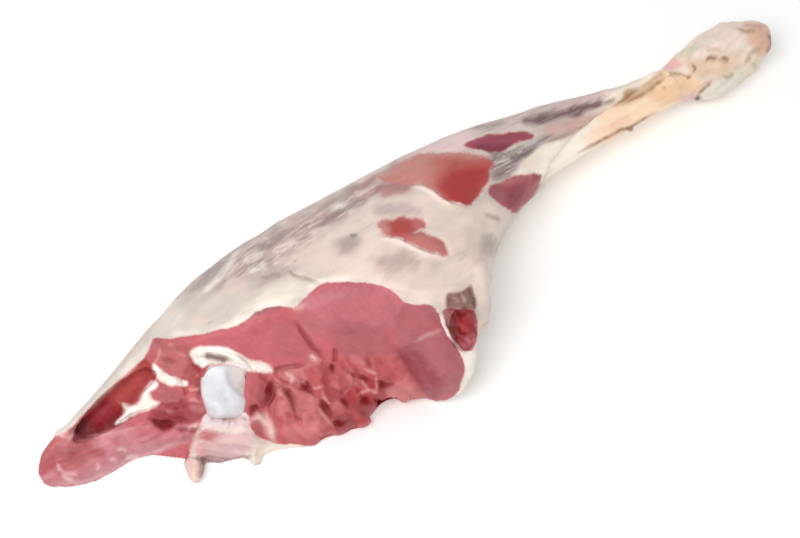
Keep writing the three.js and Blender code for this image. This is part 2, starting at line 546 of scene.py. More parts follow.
def coated_finish(name, fibre, shade, rough, relief, wet, blotch=None, stains=()):
    """A finish of a piece's own coat: one noise varies its tone, gloss and relief, and another stains it."""
    material, tree, shader = new_finish(name)
    noise = grain(tree, *fibre)
    paint = scaled(tree, stored(tree, "coat", 0), vary(tree, noise, *shade))
    if stains:
        clouds = grain(tree, *blotch)
    for begins, full, strength, colour in stains:
        paint = blend(tree, spread(tree, clouds, begins, full, 0.0, strength), paint, colour)
    tree.links.new(paint, shader.inputs["Base Color"])
    tree.links.new(vary(tree, noise, *rough), shader.inputs["Roughness"])
    bumpy(tree, shader, noise, *relief)
    moist(shader, **wet)
    return material


def hand_over(piece, material, node):
    """Gives a piece its finish and puts it in a CAD node's place."""
    piece.data.materials.append(material)
    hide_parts(node)
    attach(piece, "root")


print("Noise is read from", NOISE_RANGE[0], "to", NOISE_RANGE[1])

# %% [markdown]
# ## The ball of the thigh bone
# The ball is capped with cartilage and sits in the slice like an egg in a cup. The rest of the bone is
# inside the flesh, so only the ball is worked on. A sphere would be too round: the real ball is squarish,
# and flat where its ligament was cut off.

# %% Hip ball
BALL_CENTRE = (226.5, 395.0)  # in pixels of the picture, as is its half size
BALL_HALF = (23.0, 32.5)
BALL_SQUARENESS = 3.8
FLATTENED = 0.6
FULLEST = 0.25
SLICE_OUT = 58.5  # millimetres towards the camera, at the ball's middle
SLICE_FALL = 0.18  # and how much less for each pixel down
SLICE_TURN = 0.07  # and to the right


def ball_radius(at):
    """1 on the ball's squarish outline in the picture, and less inside it."""
    share = np.abs((at - BALL_CENTRE) / BALL_HALF)
    return (share**BALL_SQUARENESS).sum(axis=1) ** (1 / BALL_SQUARENESS)


def towards_eye(points):
    """How far points stand out towards the camera."""
    return (points - np.array(AIM)) @ np.array(TO_EYE)


def slice_level(at):
    """How far the slice as a whole stands out towards the camera beside the ball."""
    across, down = (at - BALL_CENTRE).T
    return (SLICE_OUT - SLICE_FALL * down - SLICE_TURN * across) * MM


hip = Surface(ball, waver=0.8)
# Points near the ball's outline move out towards the corners of a squarish one.
offset = (hip.at - BALL_CENTRE) / BALL_HALF
radius = np.hypot(*offset.T)
square = np.abs(offset / np.maximum(radius, 1e-6)[:, None]) ** BALL_SQUARENESS
fuller = square.sum(axis=1) ** (-1 / BALL_SQUARENESS) - 1.0
fuller = np.clip(fuller * ramp(1.5, 1.0, radius) * ramp(0.3, 0.9, radius), 0.0, FULLEST)
moves = offset * np.array(BALL_HALF) * fuller[:, None] * PIXEL
hip.points += moves[:, :1] * np.array(RIGHT) - moves[:, 1:] * np.array(UPWARD)
hip.write()
# What stands proud of the slice is flattened towards it.
proud = (towards_eye(hip.points) - slice_level(hip.at)) * ramp(-0.3, 0.3, hip.normals @ np.array(TO_EYE))
hip.points -= np.outer(FLATTENED * proud * ramp(1.2, 1.0, ball_radius(hip.at)), np.array(TO_EYE))
hip.write()
LIGAMENT = [(229, 366), (244, 369), (252, 380), (252, 398), (242, 394), (232, 386)]
hip.push(hip.patch(LIGAMENT, 4), -1.2)
hip.push(hip.line([(228, 370), (231, 384), (240, 393), (251, 400)], 5), -0.8)
hip.ripple(1.0, heading=70, long=18, short=9, seed=31, millimetres=0.8)
hip.write()
print("Hip ball:", triangles(ball), "triangles")

# %% [markdown]
# ## Wet cartilage
# The ball's tones are patches and lines on a bluish white: a dull flat where the ligament sat, pink at its
# foot, painted shade on its right and lower right, and a painted highlight low on its left. Cartilage is
# smooth and wet, so the finish has low roughness and a thin coat.

# %% The ball's finish
BALL_PATCHES = [  # outline, softness in pixels, colour, strength
    (LIGAMENT, 5, (214, 201, 195), 0.9),
    # painted shade: greyer on the ball's lower right
    ([(236, 398), (252, 400), (250, 418), (238, 416)], 6, (214, 208, 214), 0.8),
    ([(203, 372), (214, 370), (223, 388), (222, 408), (206, 408)], 6, (216, 215, 217), 0.9),
    ([(200, 406), (226, 408), (254, 404), (254, 436), (200, 436)], 6, (206, 203, 207), 0.85),
    ([(200, 415), (226, 418), (254, 413), (254, 440), (200, 440)], 5, (222, 202, 206), 0.8),
    ([(200, 356), (252, 356), (252, 366), (226, 364), (200, 366)], 4, (236, 226, 216), 0.8),
]
BALL_LINES = [  # spots, width in pixels, colour, strength
    ([(226, 368), (230, 382), (239, 392), (249, 401)], 4, (198, 190, 190), 0.6),
    ([(239, 394), (248, 402), (250, 416)], 2.5, (238, 226, 228), 0.8),
    # painted shade: a mauve-grey band down the ball's right side
    ([(239, 383), (245, 389), (249, 397)], 6, (184, 156, 154), 0.6),
    # painted highlight: a paler, bluish streak low on the ball's left
    ([(212, 398), (220, 410), (218, 420)], 6, (222, 226, 232), 0.6),
]
hip.keep("coat", painted(hip, (216, 217, 222), BALL_PATCHES, BALL_LINES))

cartilage = coated_finish(
    "wet_cartilage",
    fibre=((1, 1, 1), 130.0, 4.0, 0.55),
    shade=(0.9, 1.06),
    rough=(0.26, 0.4),
    relief=(0.15, 0.6 * MM),
    wet={"depth": 2.0 * MM, "radius": (0.6, 0.6, 0.7), "share": 0.25, "coat": 0.25},
)
hand_over(ball, cartilage, "thigh_bone")
print("Patches and lines on the ball:", len(BALL_PATCHES + BALL_LINES))

# %% [markdown]
# ## The bare shank bone
# Below the calf the bone was scraped clean. It isn't round: long ridges and furrows run along it, and a snag
# sticks out of its lower edge. Streaky noise and three strokes are enough, as the solid gives the form.

# %% Shank bone
shin = Surface(shank, waver=0.8)
shin.ripple(1.0, heading=-32, long=26, short=6, seed=32, millimetres=1.2)
BONE_RIDGES = [  # spots, width in pixels, height in millimetres
    ([(580, 138), (604, 126), (634, 106), (662, 88)], 8, 0.7),
    ([(600, 136), (624, 122), (650, 104)], 5, -0.5),
    ([(626, 127), (630, 130), (632, 127)], 4, 2.2),
]
UNDER_CALF = [(496, 172), (520, 168), (552, 166), (548, 190), (516, 222), (494, 206)]
shin.strokes(BONE_RIDGES)
shin.push(shin.patch(UNDER_CALF, 5), -4.0)
shin.write()
print("Shank bone:", triangles(shank), "triangles")

# %% [markdown]
# ## Scraped bone
# Peach and cream are painted on, with the torn brown line and its small snag. A noise drawn out along the
# bone gives it the fine scrapes of a knife, in tone and as a bump.

# %% The bone's finish
TORN_EDGE = [(578, 153), (590, 147), (606, 138), (620, 131), (630, 128), (643, 120), (657, 112)]
SHANK_CREAM = (254, 242, 226)
BONE_PATCHES = [
    ([(530, 190), (560, 134), (592, 118), (600, 134), (584, 158)], 9, SHANK_CREAM, 1.0),
    ([(588, 142), (600, 122), (618, 112), (622, 124), (606, 138)], 7, (255, 220, 194), 0.8),
    ([(650, 94), (668, 80), (694, 76), (698, 92), (684, 102), (660, 104)], 7, (240, 198, 160), 0.9),
    ([(676, 100), (694, 92), (700, 98), (690, 106)], 4, (222, 190, 190), 0.7),
    ([(612, 106), (630, 88), (648, 82), (662, 72), (666, 77), (648, 90), (628, 102)], 3,
     (224, 190, 156), 0.8),
]
BONE_LINES = [
    ([(606, 130), (622, 122), (630, 116)], 7, (243, 184, 160), 0.5),
    (TORN_EDGE, 3.4, (148, 102, 74), 0.9),
    ([(626, 127), (630, 131), (632, 128)], 4, (120, 76, 56), 0.8),
    # painted shadow: these two dark lines lie in the gap between the bone and the heel tendon
    ([(620, 105), (632, 99), (645, 93), (656, 84), (666, 77)], 4.2, (164, 122, 84), 0.85),
    ([(668, 76), (678, 73), (692, 77)], 3, (164, 122, 82), 0.8),
    ([(662, 86), (666, 88)], 3, (190, 136, 92), 0.8),
]
shin.keep("coat", painted(shin, (255, 223, 190), BONE_PATCHES, BONE_LINES))

SLIGHTLY_WET = {"depth": 2.0 * MM, "radius": (1.0, 0.6, 0.4), "share": 0.2, "coat": 0.05}
scraped_bone = coated_finish(
    "scraped_bone",
    fibre=((0.15, 1.0, 1.0), 260.0, 4.0, 0.6, (0.0, 0.08, 0.0)),
    shade=(0.96, 1.08),
    rough=(0.38, 0.55),
    relief=(0.3, 0.5 * MM),
    wet=SLIGHTLY_WET,
    blotch=((0.5, 1.0, 1.0), 130.0, 4.0, 0.6),
    stains=[(0.56, 0.74, 0.25, (230, 176, 144))],
)
hand_over(shank, scraped_bone, "shank_bone")
print("Patches and lines on the bone:", len(BONE_PATCHES + BONE_LINES))

# %% [markdown]
# ## The hock
# The hock is a knot of small bones wrapped in dry sinew. Lumps of noise at two sizes make it knobbly, and
# the folds, hollows and nicks that show are pushed in where they are seen. The far side has cords instead.

# %% Hock
knot = Surface(hock, waver=1.2)
HEEL = [(684, 54), (714, 36), (744, 26), (754, 36), (728, 50), (700, 60)]
KNOT_HOLLOW = [(694, 66), (708, 56), (732, 55), (740, 64), (724, 74), (700, 78)]
LOW_KNUCKLE = [(702, 90), (722, 80), (742, 70), (740, 86), (718, 100), (702, 100)]
CUT_TIP = [(746, 26), (762, 23), (772, 38), (768, 54), (754, 48)]
HOCK_BULGES = [  # outline, softness in pixels, height in millimetres
    (HEEL, 12, 2.0), (KNOT_HOLLOW, 9, -2.4), (LOW_KNUCKLE, 9, 1.6), (CUT_TIP, 8, 1.0),
    ([(740, 52), (756, 48), (762, 56), (750, 66), (740, 66)], 7, 1.6),
]
HOCK_NICKS = [
    ([(707, 60), (712, 57), (719, 59)], 5, -2.0),
    ([(722, 57), (726, 59), (729, 62)], 4.5, -1.8),
    ([(691, 64), (695, 68), (693, 73)], 4, -1.6),
    ([(687, 76), (690, 79)], 4, -1.4),
    ([(712, 81), (704, 88), (699, 95), (698, 102)], 4, -2.6),
    ([(723, 75), (729, 76), (735, 73)], 4, -1.2),
    ([(764, 47), (752, 53), (745, 66)], 4, -1.4),
    ([(738, 30), (748, 32), (756, 28)], 4, -1.0),
]
knot.swell(1.0, size=(17, 11, 11), seed=41, millimetres=4.0)
knot.swell(1.0, size=(8, 6, 6), seed=43, millimetres=2.0)
knot.ripple(1.0, heading=-35, long=14, short=4, seed=42, millimetres=1.4)
knot.swell(1.0 - knot.seen, size=(70, 9, 9), seed=44, millimetres=5.0)
for outline, soft, height in HOCK_BULGES:
    knot.push(knot.dome(outline, soft), height)
knot.strokes(HOCK_NICKS)
knot.write()
print("Hock:", triangles(hock), "triangles")

# %% [markdown]
# ## The cuff
# The sinew closes onto the bone like a cuff, so the hock's first centimetres are drawn to the nearest place
# on the shank bone. A Shrinkwrap modifier would pull all of it in, but here the pull fades out along the
# hock. The bone's own end is drawn in a little, to stay inside.

# %% The hock's cuff
CUFF_START = 0.2115
CUFF_END = 0.244
CUFF_LAP = 4.0 * MM
CUFF_STANDS_OFF = 1.2
CUFF_SINKS = 1.5
BONE_TAPER = (0.003, 0.009)
shank_tree = BVHTree.FromObject(shank, bpy.context.evaluated_depsgraph_get())
for index in np.flatnonzero(knot.points[:, 0] < CUFF_END):
    spot = Vector(knot.points[index])
    nearest, normal, _, _ = shank_tree.find_nearest(Vector((min(spot.x, CUFF_START), spot.y, spot.z)))
    closing = float(ramp(CUFF_END, CUFF_START, spot.x))
    nearest.x = spot.x - CUFF_LAP * closing
    lift = (CUFF_STANDS_OFF - CUFF_SINKS * closing) * MM
    knot.points[index] = spot.lerp(nearest + lift * normal, closing)
knot.write()
shin.push(ramp(CUFF_START + BONE_TAPER[0], CUFF_START + BONE_TAPER[1], shin.points[:, 0]), -2.0)
shin.write()
print("Cuff from", round(CUFF_START / MM), "to", round(CUFF_END / MM), "mm along the leg")

# %% [markdown]
# ## Dry sinew
# Sinew is cream, with brown in its nicks and a reddish end where the foot was cut away. The side that isn't
# seen gets blotches of the same tones. It is drier than the flesh, so it is rougher and has little coat.

# %% The hock's finish
PINK_SPOT = [(662, 62), (670, 57), (681, 62), (679, 69), (666, 70)]
NICK_BROWN = (138, 98, 74)
HOCK_PATCHES = [
    (HEEL, 8, (242, 220, 208), 0.9),
    ([(684, 58), (704, 56), (730, 52), (744, 62), (726, 76), (694, 80)], 7, (230, 200, 174), 0.9),
    (LOW_KNUCKLE, 6, (226, 221, 207), 0.9),
    ([(736, 62), (752, 52), (764, 50), (756, 64), (742, 72)], 5, (232, 212, 186), 0.9),
    (CUT_TIP, 6, (222, 174, 152), 0.9),
    ([(660, 84), (676, 74), (694, 78), (700, 90), (690, 101), (668, 104)], 5, (242, 202, 166), 1.0),
    ([(680, 98), (694, 92), (698, 99), (688, 105)], 4, (222, 188, 190), 0.8),
    (PINK_SPOT, 3, (240, 182, 178), 0.9),
    ([(680, 54), (690, 46), (698, 48), (688, 58)], 4, (206, 204, 178), 0.7),
]
HOCK_LINES = [(spots, wide * 0.9, NICK_BROWN, 0.85) for spots, wide, height in HOCK_NICKS[:5]]
HOCK_LINES += [(spots, wide, (176, 150, 118), 0.75) for spots, wide, height in HOCK_NICKS[5:]]
HOCK_LINES += [
    ([(698, 97), (698, 103)], 5, (88, 50, 46), 0.9),
    ([(767, 33), (771, 42), (767, 54)], 4, (128, 84, 76), 0.85),
    ([(706, 50), (714, 48), (722, 51)], 4, (210, 172, 152), 0.7),
    ([(752, 68), (756, 64)], 4, (176, 166, 166), 0.7),
    # painted shadow: the end of the dark line under the heel tendon
    ([(655, 82), (672, 73), (692, 77)], 3, (168, 128, 88), 0.8),
    ([(744, 27), (754, 25), (764, 28)], 4, (196, 160, 146), 0.7),
]
FAR_BLOTCHES = [  # size in millimetres, seed, where the noise begins and is full, strength, colour
    ((26, 13, 13), 45, (0.5, 0.75), 1.0, (222, 178, 160)),
    ((40, 7, 7), 46, (0.5, 0.7), 1.0, (226, 218, 210)),
    ((12, 7, 7), 47, (0.72, 0.84), 0.8, NICK_BROWN),
]
wrap = np.broadcast_to(linear((236, 218, 202)), knot.points.shape)
for size, seed, edge, strength, colour in FAR_BLOTCHES:
    blotches = (1.0 - knot.seen) * ramp(*edge, mottle(knot.points, np.array(size) * MM, seed))
    wrap = mixed(wrap, blotches * strength, colour)
knot.keep("coat", painted(knot, wrap, HOCK_PATCHES, HOCK_LINES))

dry_sinew = coated_finish(
    "dry_sinew",
    fibre=((0.2, 1.0, 1.0), 240.0, 5.0, 0.62, (0.0, 0.0, 0.2)),
    shade=(0.94, 1.06),
    rough=(0.42, 0.58),
    relief=(0.4, 0.7 * MM),
    wet=SLIGHTLY_WET,
    blotch=((0.6, 1.0, 1.0), 120.0, 4.0, 0.6),
    stains=[(0.56, 0.72, 0.4, (214, 178, 150)), (0.42, 0.28, 0.3, (238, 226, 220))],
)
hand_over(hock, dry_sinew, "hock")
print("Patches and lines on the hock:", len(HOCK_PATCHES + HOCK_LINES))

# %% [markdown]
# ## Outlines on the flesh
# The sliced face, its muscles and what shows on the cover are outlined once here. Shape and colour then
# use the same outlines, so that a muscle's paint always lies on its own bulge.

# %% The sliced face and its muscles
CUT_FACE = [
    (30, 470), (40, 447), (58, 436), (69, 428), (99, 399), (128, 372), (143, 358), (151, 345), (157, 339),
    (193, 336), (214, 331), (238, 326), (256, 312), (276, 306), (294, 308), (303, 299), (314, 288),
    (328, 283), (346, 281), (368, 284), (389, 289), (405, 302), (418, 305), (431, 305), (438, 313),
    (446, 331), (461, 354), (465, 367), (463, 380), (456, 393), (440, 403), (412, 407), (388, 410),
    (382, 422), (366, 434), (342, 446), (316, 446), (286, 444), (270, 442), (258, 437), (248, 427),
    (228, 428), (206, 424), (197, 432), (190, 446), (184, 462), (128, 484), (80, 500), (30, 500),
]
OVAL_MUSCLE = [
    (293, 308), (310, 294), (329, 284), (355, 281), (380, 286), (397, 295), (406, 307), (402, 321),
    (389, 329), (370, 337), (348, 338), (328, 336), (310, 331), (298, 320),
]
KNEE_LOBE = [
    (407, 306), (420, 305), (434, 307), (440, 320), (452, 340), (463, 358), (465, 372), (459, 389),
    (444, 396), (428, 397), (419, 385), (409, 367), (399, 351), (396, 334),
]
UPPER_BAND = [
    (156, 341), (193, 338), (235, 328), (257, 313), (276, 308), (292, 311), (301, 324), (313, 341),
    (321, 354), (298, 358), (270, 351), (240, 346), (213, 341), (182, 346),
]
TORN_MIDDLE = [
    (268, 376), (296, 366), (326, 360), (350, 358), (385, 356), (401, 368), (416, 388), (422, 398),
    (384, 403), (376, 413), (360, 426), (338, 437), (300, 441), (279, 439), (268, 420), (270, 396),
]
CORNER_MUSCLE = [(152, 346), (172, 343), (190, 346), (191, 370), (178, 378), (163, 368)]
HIP_LUMP = [(152, 391), (161, 384), (176, 387), (184, 395), (180, 404), (163, 405)]
HIP_LUMP_LOW = [(158, 408), (176, 407), (188, 400), (200, 405), (202, 416), (188, 421), (172, 416)]
HIP_LUMP_HIGH = [(184, 377), (197, 373), (202, 384), (201, 394), (187, 391)]
POCKET = [
    (69, 429), (99, 400), (128, 373), (143, 359), (151, 364), (152, 375), (144, 385), (136, 397),
    (124, 412), (114, 424), (98, 431), (82, 438), (73, 434),
]
FLANK_STRIP = [
    (40, 462), (62, 442), (84, 440), (115, 429), (140, 425), (175, 425), (200, 432), (180, 444),
    (150, 453), (120, 468), (80, 484), (46, 487),
]
BESIDE_BALL = [(251, 376), (262, 374), (270, 382), (268, 398), (258, 410), (251, 404)]
SMOOTH_LUMP = [(276, 388), (287, 388), (296, 404), (298, 420), (284, 424), (275, 408)]
BALL_APRON = [
    (191, 446), (196, 434), (201, 422), (208, 414), (228, 416), (246, 413), (251, 428), (259, 438),
    (272, 443), (262, 450), (250, 456), (226, 460), (206, 459), (194, 455),
]
TORN_LUMPS = [  # centre in the picture, height in millimetres, tone
    (263, 394, 1.5, "red"), (285, 405, 2.4, "rose"), (287, 429, 1.0, "red"), (305, 402, 2.6, "rose"),
    (314, 417, 2.0, "rose"), (313, 376, 1.6, "red"), (333, 393, 0.6, "dusk"), (337, 408, 2.2, "rose"),
    (352, 401, 1.6, "crimson"), (357, 413, 1.2, "crimson"), (341, 425, -0.4, "dusk"), (362, 378, 1.2, "red"),
    (402, 392, 1.8, "rose"), (387, 377, 1.0, "red"), (343, 377, 1.6, "red"), (373, 411, 0.6, "crimson"),
    (324, 428, 0.8, "red"), (379, 393, 1.0, "crimson"), (299, 371, 0.8, "rose"), (322, 389, 1.4, "red"),
]
print("Spots in the rim of the sliced face:", len(CUT_FACE))

# %% [markdown]
# ## Fat and openings
# Pads of white fat lie round the ball and in the flank's pocket. The thin cover is torn open in five places,
# where red muscle shows. A real shell could be cut open there, but the cover is thinner than a millimetre,
# so an outline, a low rim and a change of paint give the same look.

# %% Pads of fat on the face, and openings in the cover
BALL_CAP = [
    (190, 352), (198, 347), (214, 346), (231, 350), (245, 357), (252, 366), (250, 372), (238, 367),
    (222, 364), (208, 365), (200, 367), (193, 360),
]
BALL_TOP = [
    (208, 368), (214, 365), (230, 365), (240, 368), (244, 372), (242, 380), (226, 381), (209, 380),
]
CAP_SINEW = [
    (232, 351), (244, 357), (258, 361), (270, 366), (272, 372), (256, 372), (246, 371), (236, 362),
]
POCKET_FAT = [
    (116, 423), (125, 412), (124, 403), (136, 404), (148, 386), (156, 381), (158, 386), (151, 392),
    (152, 399), (159, 404), (141, 412), (125, 420),
]
HIP_FAT = [(153, 365), (162, 370), (172, 376), (186, 381), (184, 386), (162, 382), (156, 375)]
RED_WINDOW = [
    (378, 178), (392, 167), (406, 159), (420, 154), (440, 154), (462, 153), (478, 155), (489, 158),
    (493, 165), (490, 177), (483, 189), (476, 199), (469, 206), (457, 203), (445, 199), (438, 192),
    (428, 187), (414, 184), (396, 185),
]
SMALL_WINDOW = [
    (378, 224), (393, 218), (412, 218), (425, 221), (424, 227), (415, 232), (423, 231), (434, 236),
    (442, 241), (449, 254), (440, 255), (428, 252), (414, 245), (400, 239), (386, 236),
]
UPPER_PLUM = [
    (464, 146), (478, 138), (494, 134), (514, 132), (530, 133), (534, 137), (520, 142), (506, 149),
    (494, 153), (479, 150),
]
LOWER_PLUM = [
    (488, 191), (494, 185), (503, 181), (517, 176), (541, 175), (538, 187), (529, 200), (515, 214),
    (507, 209), (498, 203),
]
KNEE_HOLLOW = [
    (442, 312), (448, 308), (460, 309), (473, 309), (476, 318), (477, 328), (475, 342), (471, 351),
    (462, 350), (456, 344), (448, 331), (444, 320),
]
KNEE_MEMBRANE = [
    (446, 294), (453, 292), (462, 291), (467, 287), (473, 288), (475, 309), (460, 309), (447, 308),
]
WINDOWS = [RED_WINDOW, SMALL_WINDOW, UPPER_PLUM, LOWER_PLUM]
OPENINGS = WINDOWS + [KNEE_HOLLOW]
print("Openings in the cover:", len(OPENINGS))

# %% [markdown]
# ## Finer squares where it shows
# The face carries clefts a millimetre or two wide, so the squares that the camera sees are split once more.
# The underside is flat and the bone channels are hidden, so a Decimate modifier thins those out first and
# keeps the piece light.

# %% Finer where it shows
surface = Surface(flesh, waver=0.0)
graph = bpy.context.evaluated_depsgraph_get()
bone_trees = [BVHTree.FromObject(piece, graph) for piece in (ball, shank)]
UNDERSIDE = 2.5 * MM
FACES_DOWN = -0.6
FACES_CAMERA = 0.5
BONES_BEGIN = -0.165
CHANNEL_REACH = 1.8 * MM
THINNED = 0.8
hidden = (surface.normals[:, 2] < FACES_DOWN) & (surface.points[:, 2] < UNDERSIDE)
for index in np.flatnonzero(surface.points[:, 0] > BONES_BEGIN):
    spot = Vector(surface.points[index])
    if any(bone.find_nearest(spot, CHANNEL_REACH)[0] for bone in bone_trees):
        hidden[index] = surface.normals[index] @ np.array(TO_EYE) < FACES_CAMERA
hidden_group = flesh.vertex_groups.new(name="hidden")
hidden_group.add(np.flatnonzero(hidden).tolist(), 1.0, "REPLACE")
kept = 1.0 - THINNED * hidden.mean()
settle(flesh, "DECIMATE", ratio=kept, vertex_group="hidden", vertex_group_factor=10.0)
flesh.vertex_groups.clear()
print("After thinning:", triangles(flesh), "triangles")

FINE_WORK = [  # places off the face that also carry narrow forms
    BALL_APRON,
    [(182, 452), (210, 452), (206, 494), (184, 494)],
    [(250, 440), (320, 438), (312, 456), (256, 474)],
    [(280, 262), (330, 280), (328, 290), (284, 278)],
    [(400, 178), (440, 184), (480, 200), (470, 214), (438, 206), (404, 196)],
    [(374, 232), (402, 236), (454, 254), (450, 264), (412, 254), (378, 244)],
    [(436, 284), (494, 256), (496, 336), (480, 400), (456, 400), (466, 360), (436, 312)],
    [(480, 112), (700, 30), (700, 110), (520, 200), (486, 186)],
]
surface = Surface(flesh, waver=0.0)
fine = surface.depth_in(CUT_FACE) > -6
for outline in FINE_WORK:
    fine |= surface.depth_in(outline) > 0
in_sight = fine & (surface.seen > 0.6)
bpy.ops.object.select_all(action="DESELECT")
flesh.select_set(True)
bpy.context.view_layer.objects.active = flesh
bpy.ops.object.mode_set(mode="EDIT")
bpy.ops.mesh.select_mode(type="FACE")
bpy.ops.mesh.select_all(action="DESELECT")
bpy.ops.object.mode_set(mode="OBJECT")
for face in flesh.data.polygons:
    face.select = bool(in_sight[list(face.vertices)].all())
bpy.ops.object.mode_set(mode="EDIT")
bpy.ops.mesh.subdivide(number_cuts=1, smoothness=0.0)
bpy.ops.object.mode_set(mode="OBJECT")
print("After splitting:", triangles(flesh), "triangles")

# %% [markdown]
# ## Flesh that clings to bone
# CAD leaves a small gap round each bone. Real flesh has none, so the points near the ball, the shank bone
# and the hock are drawn onto them, which also thins the flesh out to a fine edge on the bare bone.

# %% Closing the gaps


def cling(surface, band, others, reach, sink, facing=-0.2):
    """Draws the points of a band down into the near side of other pieces, so that no gap is left."""
    graph = bpy.context.evaluated_depsgraph_get()
    trees = [BVHTree.FromObject(other, graph) for other in others]
    for index in np.flatnonzero(band > 0.01):
        spot = Vector(surface.points[index])
        for tree in trees:
            nearest, normal, _, away = tree.find_nearest(spot, reach)
            if nearest is not None and normal.dot(TO_EYE) > facing:
                pull = band[index] * float(ramp(reach, 0.4 * reach, away))
                surface.points[index] = spot.lerp(nearest - sink * normal, pull)


surface = Surface(flesh, waver=1.0)
radius = ball_radius(surface.at)
# Beside the ball the flesh rises to just below the slice's level, like a cup round an egg.
collar = (0.2 + 3.0 * ramp(1.0, 1.9, radius)) * MM
short = np.maximum(slice_level(surface.at) - collar - towards_eye(surface.points), 0.0)
beside = ramp(0.86, 0.93, radius) * ramp(1.9, 1.3, radius) * surface.seen
surface.points += np.outer(short * beside, np.array(TO_EYE))
below_cap = ramp(372, 384, surface.at[:, 1])
round_ball = ramp(1.35, 1.15, radius) * below_cap
cling(surface, round_ball, (ball,), 8.0 * MM, sink=0.5 * MM)
BONE_EDGE = [
    (547, 178), (556, 154), (578, 130), (604, 106), (628, 90), (650, 74), (664, 78), (640, 102),
    (614, 122), (590, 150), (562, 180), (552, 190),
]
on_bone = ramp(-5, 5, surface.depth_in(BONE_EDGE))
cling(surface, on_bone, (shank,), 9.0 * MM, sink=1.4 * MM)
BELOW_TENDON = [
    (610, 110), (626, 99), (641, 89), (655, 78), (668, 70), (684, 68), (686, 84), (660, 100), (640, 114),
    (620, 126),
]
cling(surface, ramp(-2, 3, surface.depth_in(BELOW_TENDON)), (shank,), 14.0 * MM, sink=3.0 * MM)
ALL_SIDES = -2.0
CALF_ENDS = (0.08, 0.10)
TIP = (0.200, 0.216)
calf = ramp(*CALF_ENDS, surface.points[:, 0])
cling(surface, calf, (shank,), 3.5 * MM, sink=1.0 * MM, facing=ALL_SIDES)
tip = ramp(*TIP, surface.points[:, 0])
cling(surface, tip, (shank,), 30.0 * MM, sink=1.6 * MM, facing=ALL_SIDES)
surface.relax(0.8 * ramp(1.6, 1.3, radius) * below_cap, 5)
surface.relax(0.5 * on_bone, 3)
surface.write()
print("Points drawn onto bone:", int((on_bone + calf + tip > 0.01).sum()))

# %% [markdown]
# ## Shaping the sliced face
# Each muscle bulges a little out of the slice, because raw muscle swells when it is cut. The middle is torn
# rather than cut, so it is broken into slanting lumps. Each lump has its own height and tilt, and a place
# belongs to the lump whose middle is nearest, with a short blend between two of them.

# %% Bulges and torn lumps
BULGES = [  # outline, softness of its edge in pixels, height in millimetres
    (OVAL_MUSCLE, 16, 2.6), (KNEE_LOBE, 14, 2.2), (UPPER_BAND, 10, 1.4), (CORNER_MUSCLE, 8, 1.6),
    (HIP_LUMP, 7, 2.6), (HIP_LUMP_LOW, 7, 2.4), (HIP_LUMP_HIGH, 6, 1.8), (FLANK_STRIP, 12, 2.4),
    (BESIDE_BALL, 6, 1.8), (SMOOTH_LUMP, 7, 2.8), (BALL_APRON, 8, 2.6), (BALL_CAP, 5, 1.6),
    (CAP_SINEW, 4, 1.2), (POCKET_FAT, 4, 1.4), (HIP_FAT, 4, 1.2),
]
for outline, soft, height in BULGES:
    surface.push(surface.dome(outline, soft), height)
surface.write()

HIP_END = [(150, 346), (200, 344), (204, 372), (206, 424), (196, 436), (150, 428)]
TORN_SLANT = math.radians(52)
LUMP_BLEND = 1.6
LUMP_BEND = 9
LUMP_STRETCH = 0.7
STEEPEST = 4.0


def torn_shares(at):
    """The share of each lump of the torn middle in each place, and the offsets from the lumps' middles."""
    bend = np.stack([streaks(at, 0, 9, 9, seed) for seed in (17, 18)], axis=1) - 0.5
    centres = np.array([lump[:2] for lump in TORN_LUMPS], float)
    offset = (at + LUMP_BEND * bend)[:, None, :] - centres
    along = LUMP_STRETCH * (offset @ np.array((math.cos(TORN_SLANT), math.sin(TORN_SLANT))))
    across = offset @ np.array((-math.sin(TORN_SLANT), math.cos(TORN_SLANT)))
    away = np.hypot(along, across)
    share = np.exp((away.min(axis=1, keepdims=True) - away) / LUMP_BLEND)
    return share / share.sum(axis=1, keepdims=True), offset


torn = surface.patch(TORN_MIDDLE, 7)
ragged = surface.patch(HIP_END, 7)
share, offset = torn_shares(surface.at)
heights = np.array([height for x, y, height, tone in TORN_LUMPS])
tilts = np.random.default_rng(5).uniform(-0.15, 0.15, (len(TORN_LUMPS), 2))
facets = np.clip(heights + (tilts * offset).sum(axis=2), -STEEPEST, STEEPEST)
surface.push(torn * (share * facets).sum(axis=1), 1.0)
apron = surface.patch(BALL_APRON, 4)
on_face = ramp(-2, 6, surface.depth_in(CUT_FACE)) * surface.seen
FACE_RIPPLES = [  # where, heading in degrees, length and width in pixels, seed, height in millimetres
    (torn, 50, 9, 5, 4, 1.2),
    (ragged, 15, 15, 8, 5, 3.4),
    (ragged, 30, 6, 4, 6, 1.4),
    (apron, 8, 26, 5, 7, 2.0),
    (on_face, 30, 30, 22, 8, 1.6),
    (on_face, 50, 9, 6, 9, 0.5),
]
for ripple in FACE_RIPPLES:
    surface.ripple(*ripple)
surface.write()
print("Bulges:", len(BULGES), "and torn lumps:", len(TORN_LUMPS))

# %% [markdown]
# ## Seams, clefts and strands
# Muscles meet in shallow seams. In the torn middle the fibres came apart in deeper clefts, and strands of
# pale sinew lie over them. A Crease brush would draw these by hand. Here each is a stroke through a few
# spots, and a cleft is a wedge, wide near its start and closed at its end.

